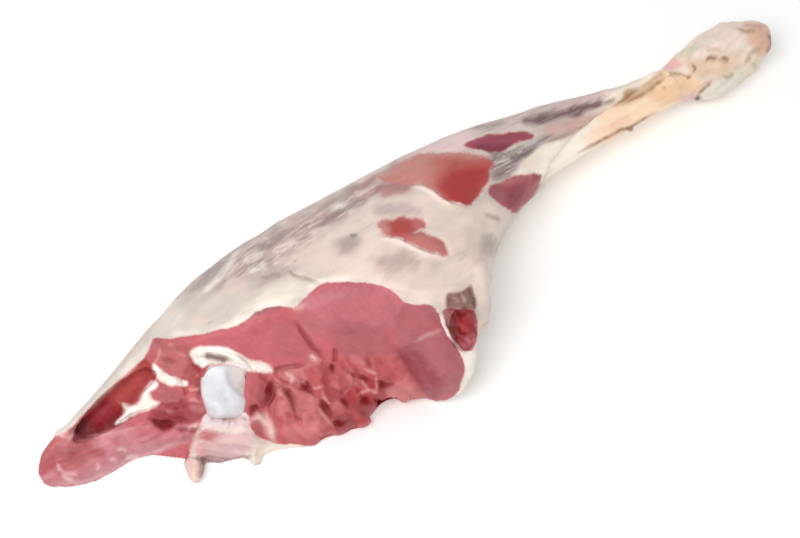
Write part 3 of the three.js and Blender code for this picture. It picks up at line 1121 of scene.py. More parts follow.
# %% Seams, clefts and strands
SEAMS = [  # spots, width in pixels, depth in millimetres
    ([(296, 320), (305, 335), (314, 346), (326, 358)], 4.5, 2.4),
    ([(334, 349), (336, 356), (334, 363)], 4, 2.4),
    ([(398, 350), (408, 364), (417, 378), (428, 395)], 5, 0.9),
    ([(270, 373), (288, 367), (306, 364)], 4, 1.8),
    ([(340, 366), (352, 373), (367, 379)], 3.5, 2.0),
]
CLEFTS = [
    ([(270, 382), (271, 391), (269, 401), (264, 408)], 4.5, 4.5),
    ([(258, 404), (254, 410), (250, 416)], 4, 3.5),
    ([(281, 388), (288, 394), (293, 404), (296, 418)], 3, 2.4),
    ([(301, 382), (308, 389), (315, 396)], 5.5, 3.6),
    ([(322, 402), (327, 410), (331, 419)], 6, 4.0),
    ([(333, 421), (341, 424), (349, 421)], 4, 2.4),
    ([(331, 364), (332, 369), (331, 374)], 3, 2.2),
    ([(362, 396), (366, 401), (371, 405)], 5, 4.0),
    ([(374, 399), (379, 402), (384, 403)], 4, 3.2),
    ([(377, 381), (384, 385), (394, 384)], 4, 3.2),
    ([(360, 377), (367, 380), (374, 381)], 3, 2.0),
    ([(340, 398), (346, 404), (348, 410)], 3.5, 2.0),
    ([(176, 423), (163, 425), (149, 420)], 5, 4.5),
]
HIP_CLEFTS = [
    ([(78, 438), (99, 431), (116, 424), (130, 417), (146, 410)], 4, 3.4),
    ([(152, 406), (168, 406), (182, 405), (190, 398)], 4, 1.2),
    ([(184, 376), (185, 388), (187, 397)], 3.5, 1.8),
    ([(176, 429), (192, 431), (204, 433)], 4, 2.6),
    ([(56, 466), (64, 475), (77, 477)], 3, 1.2),
    ([(192, 346), (194, 360), (198, 374), (200, 392), (200, 412)], 4, 1.6),
]
STRANDS = [  # spots, width in pixels, height in millimetres
    ([(258, 413), (265, 420), (270, 429), (274, 441)], 6.0, 1.6),
    ([(246, 426), (254, 420), (262, 414)], 4.5, 1.2),
    ([(284, 373), (291, 377), (294, 386)], 5.0, 1.4),
    ([(273, 384), (278, 392), (283, 397)], 4.2, 1.2),
    ([(309, 354), (315, 358), (320, 365)], 5.0, 1.0),
    ([(296, 381), (301, 383), (305, 381)], 3.2, 0.8),
    ([(312, 389), (320, 388), (326, 385)], 2.8, 0.7),
    ([(324, 391), (326, 399), (331, 407)], 2.6, 0.7),
    ([(344, 369), (349, 371), (354, 373)], 3.2, 0.7),
    ([(364, 370), (371, 371), (377, 374)], 3.2, 0.7),
    ([(361, 376), (364, 384), (372, 390), (380, 392)], 3.0, 1.0),
    ([(376, 376), (377, 384), (377, 391)], 2.8, 0.9),
    ([(358, 394), (365, 390), (372, 390)], 2.6, 0.7),
    ([(318, 406), (324, 416), (331, 425)], 2.6, 0.7),
    ([(184, 430), (196, 425), (208, 427)], 5.0, 1.0),
    ([(56, 437), (64, 433), (75, 437)], 8.0, 1.6),
    ([(117, 400), (124, 406), (123, 415)], 3.0, 0.8),
    ([(184, 403), (194, 400), (203, 404)], 3.0, 0.8),
    ([(186, 389), (194, 390), (203, 388)], 3.0, 0.8),
    ([(160, 346), (158, 357), (153, 367)], 2.6, 0.5),
    ([(196, 372), (199, 384), (199, 396)], 3.0, 0.8),
]
CLEFT_OPENS = 1.3
surface.strokes(SEAMS + HIP_CLEFTS, sign=-1)
for spots, wide, depth in CLEFTS:
    surface.push(surface.line(spots, CLEFT_OPENS * wide, wedge=True), -depth)
surface.strokes(STRANDS)
FOOT_SHREDS = [  # spots, width in pixels, height in millimetres
    ([(248, 455), (256, 459), (262, 464)], 9, 7.0),
    ([(318, 444), (330, 441), (340, 437)], 10, -4.0),
    ([(354, 424), (361, 420), (367, 414)], 9, 4.5),
    ([(376, 411), (388, 407), (402, 405)], 11, -5.5),
    ([(404, 405), (416, 404), (430, 402)], 9, -2.5),
]
surface.strokes(FOOT_SHREDS, all_round=True)
BALL_SLOT = [(203, 356), (211, 356), (221, 358), (232, 360)]
APRON_FOOT = [(190, 456), (206, 459), (226, 461), (242, 459), (256, 455)]
surface.push(surface.line(BALL_SLOT, 5), -3.0)
surface.push(surface.line(APRON_FOOT, 4), -3.4)
surface.write()
print("Seams and clefts:", len(SEAMS + CLEFTS + HIP_CLEFTS), "and strands:", len(STRANDS))

# %% [markdown]
# ## Shaping the cover
# Outside the cut, a skin of fat and fascia lies over the muscles. It is smooth with long soft folds, and
# on the shank the tendons stand out as cords with grooves between them.

# %% Folds, windows and tendons
CREAM_FOLD = [
    (236, 320), (262, 294), (288, 276), (304, 278), (324, 284), (302, 297), (290, 306), (256, 309),
]
KNEE_FLAP = [(474, 262), (488, 260), (492, 290), (489, 328), (480, 331), (476, 300)]
FOLDS = [  # spots, width in pixels, height in millimetres (negative is a groove)
    ([(286, 269), (295, 275), (309, 279), (325, 286)], 3, -1.4),
    ([(260, 279), (272, 275), (282, 275)], 4, -0.9),
    ([(199, 297), (222, 273), (241, 246)], 6, 0.9),
    ([(190, 293), (206, 278), (218, 264)], 6, -0.8),
    ([(242, 262), (253, 257), (264, 252)], 5, 0.9),
    ([(270, 251), (286, 245), (303, 239)], 6, 0.9),
    ([(330, 214), (338, 206), (348, 208), (351, 215)], 7, 1.4),
    ([(410, 187), (426, 190), (437, 196), (446, 202), (463, 207)], 4.5, 1.6),
    ([(380, 238), (398, 242), (414, 249), (430, 256), (450, 259)], 4.5, 1.4),
    ([(485, 213), (492, 216), (500, 221)], 3.5, -1.2),
    ([(400, 285), (426, 291), (452, 287), (470, 276)], 9, 1.0),
    ([(430, 262), (452, 262), (478, 252)], 7, -0.7),
    ([(474, 286), (476, 305), (476, 326)], 3.5, -2.0),
    ([(468, 129), (490, 126), (508, 122)], 5, -1.0),
    ([(494, 154), (512, 151), (530, 142), (554, 133)], 4, -1.4),
    ([(492, 167), (510, 162), (528, 151), (546, 143)], 4, -1.2),
    ([(490, 176), (508, 171), (521, 161), (534, 151)], 4, -1.0),
    ([(494, 163), (503, 161), (513, 159)], 2.4, 0.7),
    ([(546, 122), (566, 115), (584, 109), (613, 101)], 5, -1.8),
    ([(528, 113), (556, 105), (590, 97), (622, 91)], 7, 1.2),
    ([(550, 131), (570, 126), (590, 121), (612, 111)], 5, 0.9),
    ([(540, 144), (558, 138), (576, 131), (592, 124), (612, 116)], 3.5, -1.2),
    ([(206, 421), (228, 424), (248, 420)], 6, 1.8),
    ([(625, 88), (640, 82), (656, 72), (668, 64)], 5, 1.0),
]
inset = surface.depth_in(CUT_FACE)
off_face = (1.0 - ramp(-6, 0, inset) * surface.seen) * ramp(2 * MM, 8 * MM, surface.points[:, 2])
far_side = 1.0 - surface.seen
lumps = mottle(surface.points, (34 * MM, 14 * MM, 14 * MM), seed=11) - 0.5
surface.push(off_face * lumps * (1.0 - 0.6 * far_side), 2.0)
surface.swell(off_face * far_side, size=(90, 26, 26), seed=13, millimetres=4.0)
surface.swell(off_face, size=(18, 5, 5), seed=12, millimetres=0.9)


def far_seams(points):
    """Fine lines between the muscles of the far side: where a slow noise crosses its middle."""
    slow = mottle(points, (170 * MM, 44 * MM, 44 * MM), seed=54)
    return np.exp(-(((slow - 0.5) / 0.02) ** 2))


surface.push(off_face * far_side * far_seams(surface.points), -1.2)
surface.push(surface.dome(CREAM_FOLD, 12), 1.8)
surface.push(surface.dome(KNEE_FLAP, 8), 3.0)
for outline in WINDOWS:
    depth = surface.depth_in(outline)
    surface.push(ramp(-4, 0, depth) * ramp(4, 0, depth) * surface.seen, -0.8)
    surface.push(ramp(2, 12, depth) * surface.seen, 0.9)
surface.strokes(FOLDS)
surface.push(surface.dome(KNEE_HOLLOW, 7), -2.0)
TAG_END = [(184, 456), (208, 456), (206, 474), (196, 494), (186, 482)]
COVER_RIPPLES = [  # outline, softness, heading in degrees, length and width, seed, height in millimetres
    (KNEE_HOLLOW, 3, 65, 11, 5, 19, 4.0),
    (KNEE_MEMBRANE, 3, 80, 10, 4, 20, 3.0),
    (TAG_END, 4, 95, 14, 5, 21, 3.0),
]
for outline, soft, *ripple in COVER_RIPPLES:
    surface.ripple(surface.patch(outline, soft), *ripple)
surface.write()
for _ in range(2):
    surface.relax(surface.crumpled(), 10)
    surface.write()
print("Folds:", len(FOLDS))

# %% [markdown]
# ## Paint on the flesh
# Two coats of colour are kept for every point: one for the bare flesh and one for the cover. Each muscle of
# the flesh has its own red, from rose to wine. Seams are darker, clefts and the creases between torn lumps
# carry painted shade, strands are paler, a few pale streaks are painted highlights, and the torn lumps each
# take one of four tones. Vertex paint is enough, because the mesh is fine and the edges are soft.

# %% The flesh's coat
BAND_ROSE = (194, 94, 102)
OVAL_PINK = (192, 103, 112)
LOBE_WINE = (170, 92, 98)
TORN_RED = (178, 78, 80)
# painted shade: the dark red laid into the clefts stands in for the shadow inside them
SHADED_CLEFT_RED = (112, 10, 14)
DEEP_RED = (142, 36, 40)
STRIP_PINK = (200, 124, 131)
# pale sinew for the strands, and also a painted highlight on the knee lobe
PALE_SINEW_AND_SHEEN = (230, 190, 184)

FLESH_PATCHES = [  # outline, softness in pixels, colour, strength
    (TORN_MIDDLE, 7, TORN_RED, 1.0),
    (OVAL_MUSCLE, 5, OVAL_PINK, 1.0),
    (KNEE_LOBE, 6, LOBE_WINE, 1.0),
    ([(392, 350), (412, 347), (426, 362), (440, 384), (434, 398), (412, 380)], 8, (146, 54, 64), 0.9),
    ([(404, 307), (436, 307), (444, 328), (420, 332)], 7, (178, 88, 96), 0.8),
    ([(330, 324), (372, 322), (394, 340), (392, 354), (340, 356)], 8, (172, 86, 94), 0.85),
    ([(270, 330), (296, 326), (318, 352), (290, 358)], 9, (186, 96, 102), 0.8),
    (CORNER_MUSCLE, 5, (184, 100, 100), 0.9),
    (HIP_LUMP, 4, (182, 96, 102), 0.9),
    (HIP_LUMP_LOW, 5, (150, 56, 62), 0.9),
    (HIP_LUMP_HIGH, 4, (192, 98, 100), 0.9),
    ([(150, 412), (166, 410), (182, 412), (180, 425), (154, 426)], 4, (142, 34, 42), 0.85),
    (BESIDE_BALL, 4, (172, 80, 84), 0.9),
    (SMOOTH_LUMP, 5, (194, 112, 116), 0.9),
    ([(246, 426), (262, 419), (266, 436), (254, 436)], 4, (182, 86, 90), 0.9),
    (POCKET, 3, (128, 16, 26), 0.95),
    ([(84, 414), (106, 392), (118, 402), (98, 424)], 7, (148, 14, 36), 0.85),
    ([(110, 392), (143, 361), (152, 370), (146, 384), (126, 408)], 8, (176, 74, 70), 0.9),
    ([(80, 437), (116, 419), (121, 425), (90, 440)], 3, (108, 38, 46), 0.7),
    ([(70, 431), (82, 419), (92, 424), (82, 440)], 5, (104, 30, 28), 0.7),
    (FLANK_STRIP, 5, STRIP_PINK, 1.0),
    ([(44, 484), (84, 470), (124, 450), (172, 436), (190, 440), (130, 468), (80, 492)], 7,
     (188, 126, 132), 0.8),
    ([(36, 456), (56, 446), (92, 444), (100, 458), (60, 472), (38, 476)], 9, (166, 68, 72), 0.95),
    ([(140, 426), (172, 427), (178, 438), (150, 440)], 7, (192, 92, 104), 0.8),
    (RED_WINDOW, 5, (190, 108, 98), 1.0),
    ([(428, 156), (480, 156), (494, 164), (470, 206), (440, 194)], 10, (188, 88, 80), 1.0),
    ([(440, 174), (489, 168), (472, 206), (446, 200)], 8, (172, 48, 48), 1.0),
    (SMALL_WINDOW, 5, (190, 106, 102), 1.0),
    ([(384, 221), (412, 221), (410, 236), (390, 235)], 5, (178, 70, 68), 1.0),
    (UPPER_PLUM, 4, (154, 62, 82), 1.0),
    ([(470, 148), (494, 146), (510, 146), (494, 154)], 4, (116, 44, 60), 0.8),
    (LOWER_PLUM, 4, (160, 56, 70), 1.0),
    ([(506, 194), (524, 186), (520, 204), (512, 210)], 5, (130, 42, 58), 0.8),
    ([(488, 191), (500, 183), (507, 196), (500, 205)], 4, (158, 90, 96), 0.8),
    (KNEE_HOLLOW, 4, (164, 70, 74), 1.0),
    ([(456, 314), (464, 312), (469, 322), (467, 337), (460, 336), (455, 324)], 4, (176, 44, 50), 0.9),
    ([(441, 312), (449, 310), (454, 326), (458, 344), (450, 338)], 4, (146, 60, 64), 0.85),
    ([(466, 336), (475, 334), (472, 350), (464, 348)], 4, (196, 120, 128), 0.8),
]
FLESH_LINES = [(spots, wide * 0.9, DEEP_RED, 0.6) for spots, wide, depth in SEAMS]
# painted shade: a broad dark wash round each cleft, fading out from it
FLESH_LINES += [(spots, wide * 3.0, DEEP_RED, 0.4) for spots, wide, depth in CLEFTS]
# painted shade: each hip cleft is painted darker the deeper it is cut
for spots, wide, depth in HIP_CLEFTS:
    FLESH_LINES.append((spots, wide, (122, 34, 36), min(0.75, 0.2 * depth)))
FLESH_LINES += [
    ([(364, 384), (374, 394), (382, 402)], 14, (160, 22, 28), 0.8),
    ([(352, 386), (358, 398), (356, 408)], 9, (164, 44, 48), 0.4),
    ([(340, 378), (346, 388), (344, 400)], 9, (156, 52, 56), 0.35),
    ([(286, 428), (306, 429), (324, 426)], 12, (214, 128, 130), 0.7),
    ([(258, 413), (265, 420), (270, 429), (274, 441)], 8, (236, 200, 190), 0.75),
    ([(346, 410), (362, 412), (374, 404)], 14, DEEP_RED, 0.5),
    ([(330, 410), (344, 418), (354, 428)], 11, DEEP_RED, 0.55),
    # painted highlights: a pale rim along the strip's lower edge, then small specks of sheen on the strip
    ([(60, 485), (82, 482), (104, 475), (132, 461), (162, 449), (184, 441)], 4, (220, 176, 178), 0.6),
    ([(117, 450), (122, 449), (127, 451)], 4, (236, 196, 196), 0.6),
    ([(125, 459), (132, 457), (140, 457)], 5, (238, 204, 204), 0.6),
    ([(109, 462), (113, 460), (116, 463)], 3.5, (236, 196, 196), 0.6),
    ([(95, 464), (98, 467), (97, 471)], 3, (236, 196, 196), 0.6),
    ([(57, 463), (59, 467), (58, 472)], 3, (232, 190, 190), 0.6),
    ([(62, 474), (67, 479), (74, 481)], 4, (236, 200, 198), 0.6),
    ([(364, 396), (372, 402), (380, 400)], 7, (150, 20, 20), 0.6),
    ([(457, 313), (463, 316), (465, 313)], 3, (120, 16, 22), 0.8),
    ([(459, 331), (464, 335), (467, 331)], 3, (116, 12, 20), 0.8),
    # painted highlight along the top edge of the flank strip
    ([(82, 441), (98, 436), (116, 431), (142, 427)], 3, (222, 160, 160), 0.6),
    ([(58, 466), (66, 474), (78, 474)], 3, (230, 186, 186), 0.6),
    ([(68, 430), (79, 418), (98, 399), (127, 372), (143, 357)], 5, (222, 164, 156), 0.85),
    # painted highlight: a faint pale streak of sheen across the knee lobe
    ([(415, 342), (428, 335), (443, 329)], 4, PALE_SINEW_AND_SHEEN, 0.35),
    ([(300, 322), (310, 336), (322, 352)], 3, (216, 140, 142), 0.5),
    ([(246, 316), (258, 312), (270, 309), (284, 307)], 5, (140, 92, 92), 0.7),
    ([(290, 309), (298, 307), (305, 304)], 5, (226, 180, 174), 0.6),
]
TORN_TONES = {
    "pale": (218, 146, 142), "rose": (200, 110, 112), "red": (184, 80, 83),
    "crimson": (178, 50, 55), "dusk": (158, 54, 59),
}
print("Tones on the flesh:", len(FLESH_PATCHES), "and lines:", len(FLESH_LINES))

# %% [markdown]
# ## Laying on the flesh's paint
# The tones go on in the order in which they lie on the meat: muscles first, then the torn lumps, dark
# seams, the painted shade of the clefts and creases, the grain of the slice, and the pale strands on top. The
# pit beside the knee has steep walls that no brush reaches through the camera, so they are painted by their
# distance from its middle.

# %% The flesh's paint laid on
STRAND_WIDE = 4.4
# how much wider than a cleft its painted shade, and its band without sheen, are
CLEFT_SHADE_SPREAD = 1.6
PIT_REACH = (24 * MM, 16 * MM)
torn = surface.patch(TORN_MIDDLE, 7)
ragged = surface.patch(HIP_END, 7)
on_face = ramp(2, 10, surface.depth_in(CUT_FACE))
strip = surface.patch(FLANK_STRIP, 6)
shred = streaks(surface.at, 50, 9, 5, seed=4)
hip_rags = streaks(surface.at, 15, 15, 8, seed=5)
face_grain = streaks(surface.at, 42, 24, 3.5, seed=23)
strip_grain = streaks(surface.at, -24, 12, 3, seed=22)
share, offset = torn_shares(surface.at)
tones = np.array([linear(TORN_TONES[tone]) for x, y, height, tone in TORN_LUMPS])
creases = torn * ramp(0.72, 0.5, share.max(axis=1))
TINTS = [  # weight, colour
    (torn * 0.95, share @ tones),
    # painted shade: darker where two torn lumps meet in a crease
    (creases * 0.3, DEEP_RED),
    (torn * ramp(0.6, 0.95, shred) * 0.35, (212, 134, 134)),
    (torn * ramp(0.35, 0.1, shred) * 0.35, DEEP_RED),
    (ragged * ramp(0.36, 0.08, hip_rags) * 0.6, DEEP_RED),
    (ragged * ramp(0.7, 0.95, hip_rags) * 0.5, (216, 146, 144)),
]
for spots, wide, colour, strength in FLESH_LINES:
    TINTS.append((surface.line(spots, wide) * strength, colour))
# painted shade: a narrow dark core in each cleft, widest at its opening
for spots, wide, depth in CLEFTS:
    TINTS.append((surface.line(spots, CLEFT_SHADE_SPREAD * wide, wedge=True) * 0.85, SHADED_CLEFT_RED))
TINTS += [
    (on_face * ramp(0.55, 0.9, face_grain) * 0.07, (216, 138, 142)),
    (on_face * ramp(0.45, 0.1, face_grain) * 0.1, (150, 54, 62)),
    (strip * ramp(0.5, 0.9, strip_grain) * 0.2, (216, 156, 160)),
    (strip * ramp(0.45, 0.1, strip_grain) * 0.3, (164, 74, 80)),
]
broken = 0.2 + 0.6 * ramp(0.3, 0.6, streaks(surface.at, 45, 6, 4, seed=14))
for spots, wide, height in STRANDS:
    tone = PALE_SINEW_AND_SHEEN if wide > STRAND_WIDE else TORN_TONES["pale"]
    TINTS.append((surface.line(spots, wide) * broken, tone))
in_hollow = surface.depth_in(KNEE_HOLLOW)
pit_middle = surface.points[(in_hollow > 4) & (surface.seen > 0.9)].mean(axis=0)
from_pit = np.linalg.norm(surface.points - pit_middle, axis=1)
pit_wall = ramp(*PIT_REACH, from_pit) * ramp(-2, 1, in_hollow) * (1.0 - surface.seen)
TINTS.append((pit_wall, (146, 60, 64)))
flesh_coat = tinted(painted(surface, BAND_ROSE, FLESH_PATCHES, []), TINTS)
surface.keep("flesh_coat", flesh_coat)
print("Layers of paint on the flesh:", len(TINTS))

# %% [markdown]
# ## Paint on the cover
# Fascia is a grey-white skin. It is cream where fat lies under it, mauve where muscle shows through, and
# nearly white on the shank. Patches go on first and then lines, many of them along the folds that were
# pushed up before.

# %% The cover's coat
FASCIA = (212, 199, 188)
CREAM = (238, 226, 211)
MAUVE = (166, 141, 138)
VEIL_GREY = (174, 154, 149)
WHITE_FAT = (244, 236, 227)
PINK_FAT = (236, 212, 204)

COVER_PATCHES = [  # outline, softness in pixels, colour, strength
    ([(176, 296), (214, 262), (262, 232), (330, 202), (384, 168), (430, 146), (410, 172), (352, 204),
      (300, 246), (240, 274), (206, 292)], 12, MAUVE, 0.85),
    ([(224, 264), (262, 256), (290, 262), (284, 282), (240, 284)], 10, VEIL_GREY, 0.7),
    ([(322, 214), (340, 196), (372, 178), (384, 180), (372, 196), (346, 216), (330, 222)], 7,
     (164, 136, 133), 0.85),
    (CREAM_FOLD, 7, CREAM, 0.95),
    ([(300, 256), (345, 226), (372, 208), (420, 198), (470, 214), (488, 250), (480, 300), (400, 294),
      (330, 278)], 14, (234, 213, 200), 0.9),
    ([(338, 240), (352, 234), (361, 246), (350, 257), (338, 252)], 7, VEIL_GREY, 0.8),
    ([(374, 260), (396, 250), (418, 256), (414, 270), (384, 274)], 9, (184, 162, 154), 0.85),
    ([(374, 207), (396, 202), (420, 207), (418, 216), (380, 215)], 6, (186, 166, 164), 0.85),
    ([(356, 188), (384, 174), (412, 183), (402, 195), (362, 195)], 6, (174, 124, 120), 0.9),
    ([(400, 160), (438, 138), (470, 131), (468, 149), (430, 154)], 6, (230, 204, 204), 0.95),
    ([(440, 202), (470, 208), (484, 196), (500, 210), (492, 240), (456, 236)], 9, (232, 214, 198), 0.8),
    ([(446, 236), (486, 232), (482, 256), (452, 258)], 10, (214, 190, 178), 0.4),
    ([(460, 134), (500, 112), (560, 96), (606, 88), (616, 98), (590, 110), (545, 122), (505, 128)], 7,
     (210, 185, 185), 0.95),
    ([(490, 154), (512, 152), (538, 140), (550, 137), (532, 152), (514, 174), (492, 180)], 5,
     (146, 126, 127), 0.95),
    ([(514, 178), (534, 152), (556, 140), (584, 132), (606, 122), (600, 142), (570, 158), (544, 180)], 5,
     SHANK_CREAM, 1.0),
    ([(546, 126), (590, 113), (608, 110), (596, 122), (556, 136)], 5, (212, 174, 165), 0.9),
    ([(604, 92), (628, 84), (660, 64), (686, 52), (690, 62), (662, 78), (630, 100), (608, 112)], 5,
     (255, 240, 220), 0.95),
    (PINK_SPOT, 3, (240, 182, 178), 0.9),
    ([(482, 238), (492, 235), (499, 244), (492, 255), (482, 252)], 5, (178, 160, 154), 0.8),
    ([(466, 350), (480, 345), (480, 392), (462, 400), (468, 380)], 4, (240, 232, 225), 0.9),
    (KNEE_FLAP, 4, (226, 206, 194), 0.9),
    ([(440, 262), (470, 262), (472, 284), (444, 284)], 8, (246, 226, 212), 0.7),
    ([(120, 378), (148, 338), (176, 308), (184, 318), (160, 338), (140, 364)], 5, (230, 220, 210), 0.8),
]
COVER_DETAILS = [
    ([(524, 121), (548, 113), (572, 105), (592, 102), (613, 99), (596, 108), (576, 115), (552, 122),
      (532, 125)], 5, (116, 86, 88), 0.95),
    # painted shadow: the olive-brown hollow under the heel tendon
    ([(624, 93), (631, 89), (637, 90), (635, 98), (626, 102)], 4, (184, 142, 100), 0.95),
    (KNEE_MEMBRANE, 2.5, (136, 92, 80), 0.95),
    (BALL_APRON, 4, (214, 161, 162), 1.0),
    ([(203, 411), (247, 410), (247, 425), (204, 427)], 5, (232, 214, 216), 0.95),
    ([(218, 446), (250, 444), (256, 454), (226, 460), (208, 456)], 5, (202, 164, 170), 0.8),
    ([(256, 440), (272, 442), (264, 450), (254, 452)], 5, (232, 212, 198), 0.9),
    ([(188, 446), (196, 432), (214, 432), (218, 440), (202, 448)], 5, (182, 86, 90), 0.8),
    ([(246, 450), (276, 441), (316, 441), (306, 450), (262, 476), (248, 466)], 4, (236, 222, 206), 0.95),
    ([(186, 458), (206, 458), (204, 474), (194, 492), (188, 478)], 4, (228, 193, 184), 0.95),
    ([(58, 438), (100, 392), (144, 350), (140, 362), (104, 398), (70, 432)], 4, (226, 214, 204), 0.8),
]
COVER_LINES = [  # spots, width in pixels, colour, strength
    (FOLDS[0][0], 2.6, (146, 126, 116), 0.85),
    (FOLDS[1][0], 4, (150, 130, 124), 0.8),
    (FOLDS[2][0], 6, WHITE_FAT, 0.8),
    (FOLDS[3][0], 7, (168, 158, 152), 0.85),
    (FOLDS[4][0], 6, WHITE_FAT, 0.95),
    (FOLDS[5][0], 7, PINK_FAT, 0.95),
    (FOLDS[6][0], 8, WHITE_FAT, 0.85),
    (FOLDS[7][0], 3.6, (246, 222, 208), 0.95),
    (FOLDS[8][0], 3.6, (244, 222, 212), 0.95),
    (FOLDS[9][0], 3.5, (160, 144, 138), 0.85),
    (FOLDS[13][0], 5, (158, 144, 138), 0.8),
    (FOLDS[17][0], 2.4, (218, 208, 206), 0.9),
    (FOLDS[21][0], 3, (176, 142, 124), 0.85),
    # painted shadow: the brown line along the gap under the heel tendon
    ([(618, 102), (632, 95), (645, 91), (656, 83), (666, 76)], 3.2, (176, 136, 100), 0.9),
    ([(556, 138), (574, 131), (590, 125), (604, 117)], 5, (196, 160, 146), 0.8),
    ([(281, 238), (294, 232), (306, 227)], 5, PINK_FAT, 0.85),
    ([(300, 226), (316, 219), (330, 214)], 4, (164, 140, 140), 0.7),
    ([(352, 196), (368, 188), (384, 178)], 4, (230, 206, 202), 0.7),
    ([(260, 246), (284, 234), (308, 224)], 3, (160, 138, 136), 0.7),
    ([(296, 227), (306, 221), (314, 219)], 4, PINK_FAT, 0.8),
    ([(306, 238), (318, 231), (328, 226)], 5, PINK_FAT, 0.8),
    ([(250, 245), (262, 239), (270, 236)], 4, (222, 206, 200), 0.8),
    ([(354, 198), (366, 191), (376, 186)], 4, PINK_FAT, 0.75),
    ([(246, 273), (258, 267), (266, 264)], 5, WHITE_FAT, 0.7),
    ([(230, 262), (250, 250), (268, 243)], 4, (154, 132, 130), 0.7),
    ([(310, 226), (330, 220), (352, 206), (372, 196)], 5, (158, 132, 130), 0.7),
    ([(350, 234), (354, 236), (357, 234)], 4, (136, 122, 116), 0.85),
    ([(522, 146), (530, 143), (538, 140)], 2.4, (222, 210, 208), 0.9),
    ([(495, 158), (501, 156), (507, 156)], 2.0, (206, 194, 192), 0.8),
    ([(436, 306), (444, 327), (457, 346), (465, 359), (467, 371)], 3.4, (250, 230, 222), 0.95),
    ([(416, 150), (440, 149), (466, 148), (484, 153)], 3, (238, 200, 198), 0.8),
    ([(498, 132), (514, 128), (532, 129)], 3, (222, 198, 202), 0.8),
    # painted shadow: the dark line under the membrane's overhanging foot
    (APRON_FOOT, 3.4, (108, 70, 66), 0.95),
    ([(202, 459), (204, 468), (200, 480)], 7, (136, 94, 92), 0.8),
    ([(462, 294), (464, 298), (465, 302)], 3, (214, 188, 174), 0.8),
    ([(452, 297), (456, 299), (459, 303)], 2.6, (196, 164, 150), 0.7),
    ([(468, 288), (472, 296), (473, 306)], 3.4, (92, 50, 44), 0.8),
    ([(447, 296), (449, 302), (448, 307)], 3, (96, 54, 48), 0.7),
]
print("Tones on the cover:", len(COVER_PATCHES + COVER_DETAILS), "and lines:", len(COVER_LINES))

# %% [markdown]
# ## Laying on the cover's paint
# The far side is guessed: soft blotches of lean and tallow, with faint lines between the muscles. On the
# near side the patches are followed by a blush of long streaks, the details, a painted shadow in the groove
# under the tendon, the membrane below the ball, and a white rim along the cut.

# %% The cover's paint laid on
TENDON_GROOVE = (604, 622)  # columns of the picture in which the groove begins and is full
GROOVE_PALES = (629, 641)
far_side = 1.0 - surface.seen
lean = ramp(0.5, 0.7, mottle(surface.points, (110 * MM, 32 * MM, 32 * MM), seed=51))
tallow = ramp(0.5, 0.72, mottle(surface.points, (56 * MM, 11 * MM, 11 * MM), seed=52))
base = tinted(np.broadcast_to(linear(FASCIA), surface.points.shape), [
    (far_side * lean * 0.75, (186, 138, 134)),
    (far_side * tallow * 0.75, CREAM),
    (far_side * far_seams(surface.points) * 0.45, (178, 140, 132)),
    (ramp(-6, 4, surface.depth_in(BONE_EDGE)), SHANK_CREAM),
])
blush = streaks(surface.at, -28, 26, 13, seed=53)
cover_coat = tinted(painted(surface, base, COVER_PATCHES, []), [
    (ramp(0.55, 0.9, blush) * 0.35 * surface.seen, (238, 206, 198)),
    (ramp(0.4, 0.1, blush) * 0.3 * surface.seen, (196, 182, 174)),
])
column = surface.at[:, 0]
# painted shadow: the groove under the tendon is painted brown, then paler towards the hock
groove = ramp(-4, 0, surface.depth_in(BELOW_TENDON)) * ramp(*TENDON_GROOVE, column)
apron = surface.patch(BALL_APRON, 4)
apron_streaks = streaks(surface.at, 8, 26, 5, seed=7)
inset = surface.depth_in(CUT_FACE)
rim = np.exp(-(((inset + 3.0) / 3.0) ** 2)) * surface.seen
rim = rim * ramp(0.3, 0.7, streaks(surface.at, 0, 30, 30, seed=15))
cover_coat = tinted(painted(surface, cover_coat, COVER_DETAILS, COVER_LINES), [
    (groove * 0.9, (174, 132, 92)),
    (groove * ramp(*GROOVE_PALES, column) * 0.9, (238, 210, 184)),
    (apron * ramp(0.5, 0.85, apron_streaks) * 0.45, (238, 212, 208)),
    (apron * ramp(0.4, 0.1, apron_streaks) * 0.6, (200, 138, 138)),
    (rim * 0.7, (246, 236, 226)),
])
surface.keep("cover_coat", cover_coat)
print("Mean of the cover's paint:", cover_coat.mean(axis=0).round(2))

# %% [markdown]
# ## Masks
# A mask is one number for every point, from 0 to 1. The first says where the flesh is bare. Its edge is made
# ragged later, by the material, finer than the mesh could be. Steep walls between bare places don't face the
# camera, so they take the mean of the points round them, and so stay red as well.

# %% Where the flesh is bare


def edge_value(depth, reach=8.0):
    """0.5 on an outline, 1 well inside it and 0 well outside. A longer reach makes a softer edge."""
    return np.clip(0.5 + depth / (2 * reach), 0.0, 1.0)


OPENING_EDGES = (16.0, 18.0, 11.0, 13.0, 8.0)
CLOSING_ROUNDS = 12
bare = edge_value(inset)
for outline, reach in zip(OPENINGS, OPENING_EDGES):
    bare = np.maximum(bare, edge_value(surface.depth_in(outline), reach))
bare = np.minimum(bare, edge_value(-surface.depth_in(BALL_APRON)))
KNEE_RIM = [(436, 304), (444, 326), (457, 346), (465, 359), (468, 372)]
bare = np.minimum(bare, 1.0 - surface.line(KNEE_RIM, 2.6))
bare = np.minimum(bare, surface.seen)
around = bare[:, None]
for _ in range(CLOSING_ROUNDS):
    around = surface.nearby(around)
FOOT_STEP = [(374, 409), (388, 404), (404, 402), (428, 401)]
steep_wall = np.maximum(ramp(0.5, 0.62, around[:, 0]), surface.line(FOOT_STEP, 14, all_round=True))
steep_wall = steep_wall * ramp(0.9, 0.6, surface.seen)
surface.keep("bare", np.maximum(bare, np.maximum(steep_wall, pit_wall)))
print("Bare flesh on", round(100 * float((bare > 0.5).mean())), "% of the points")

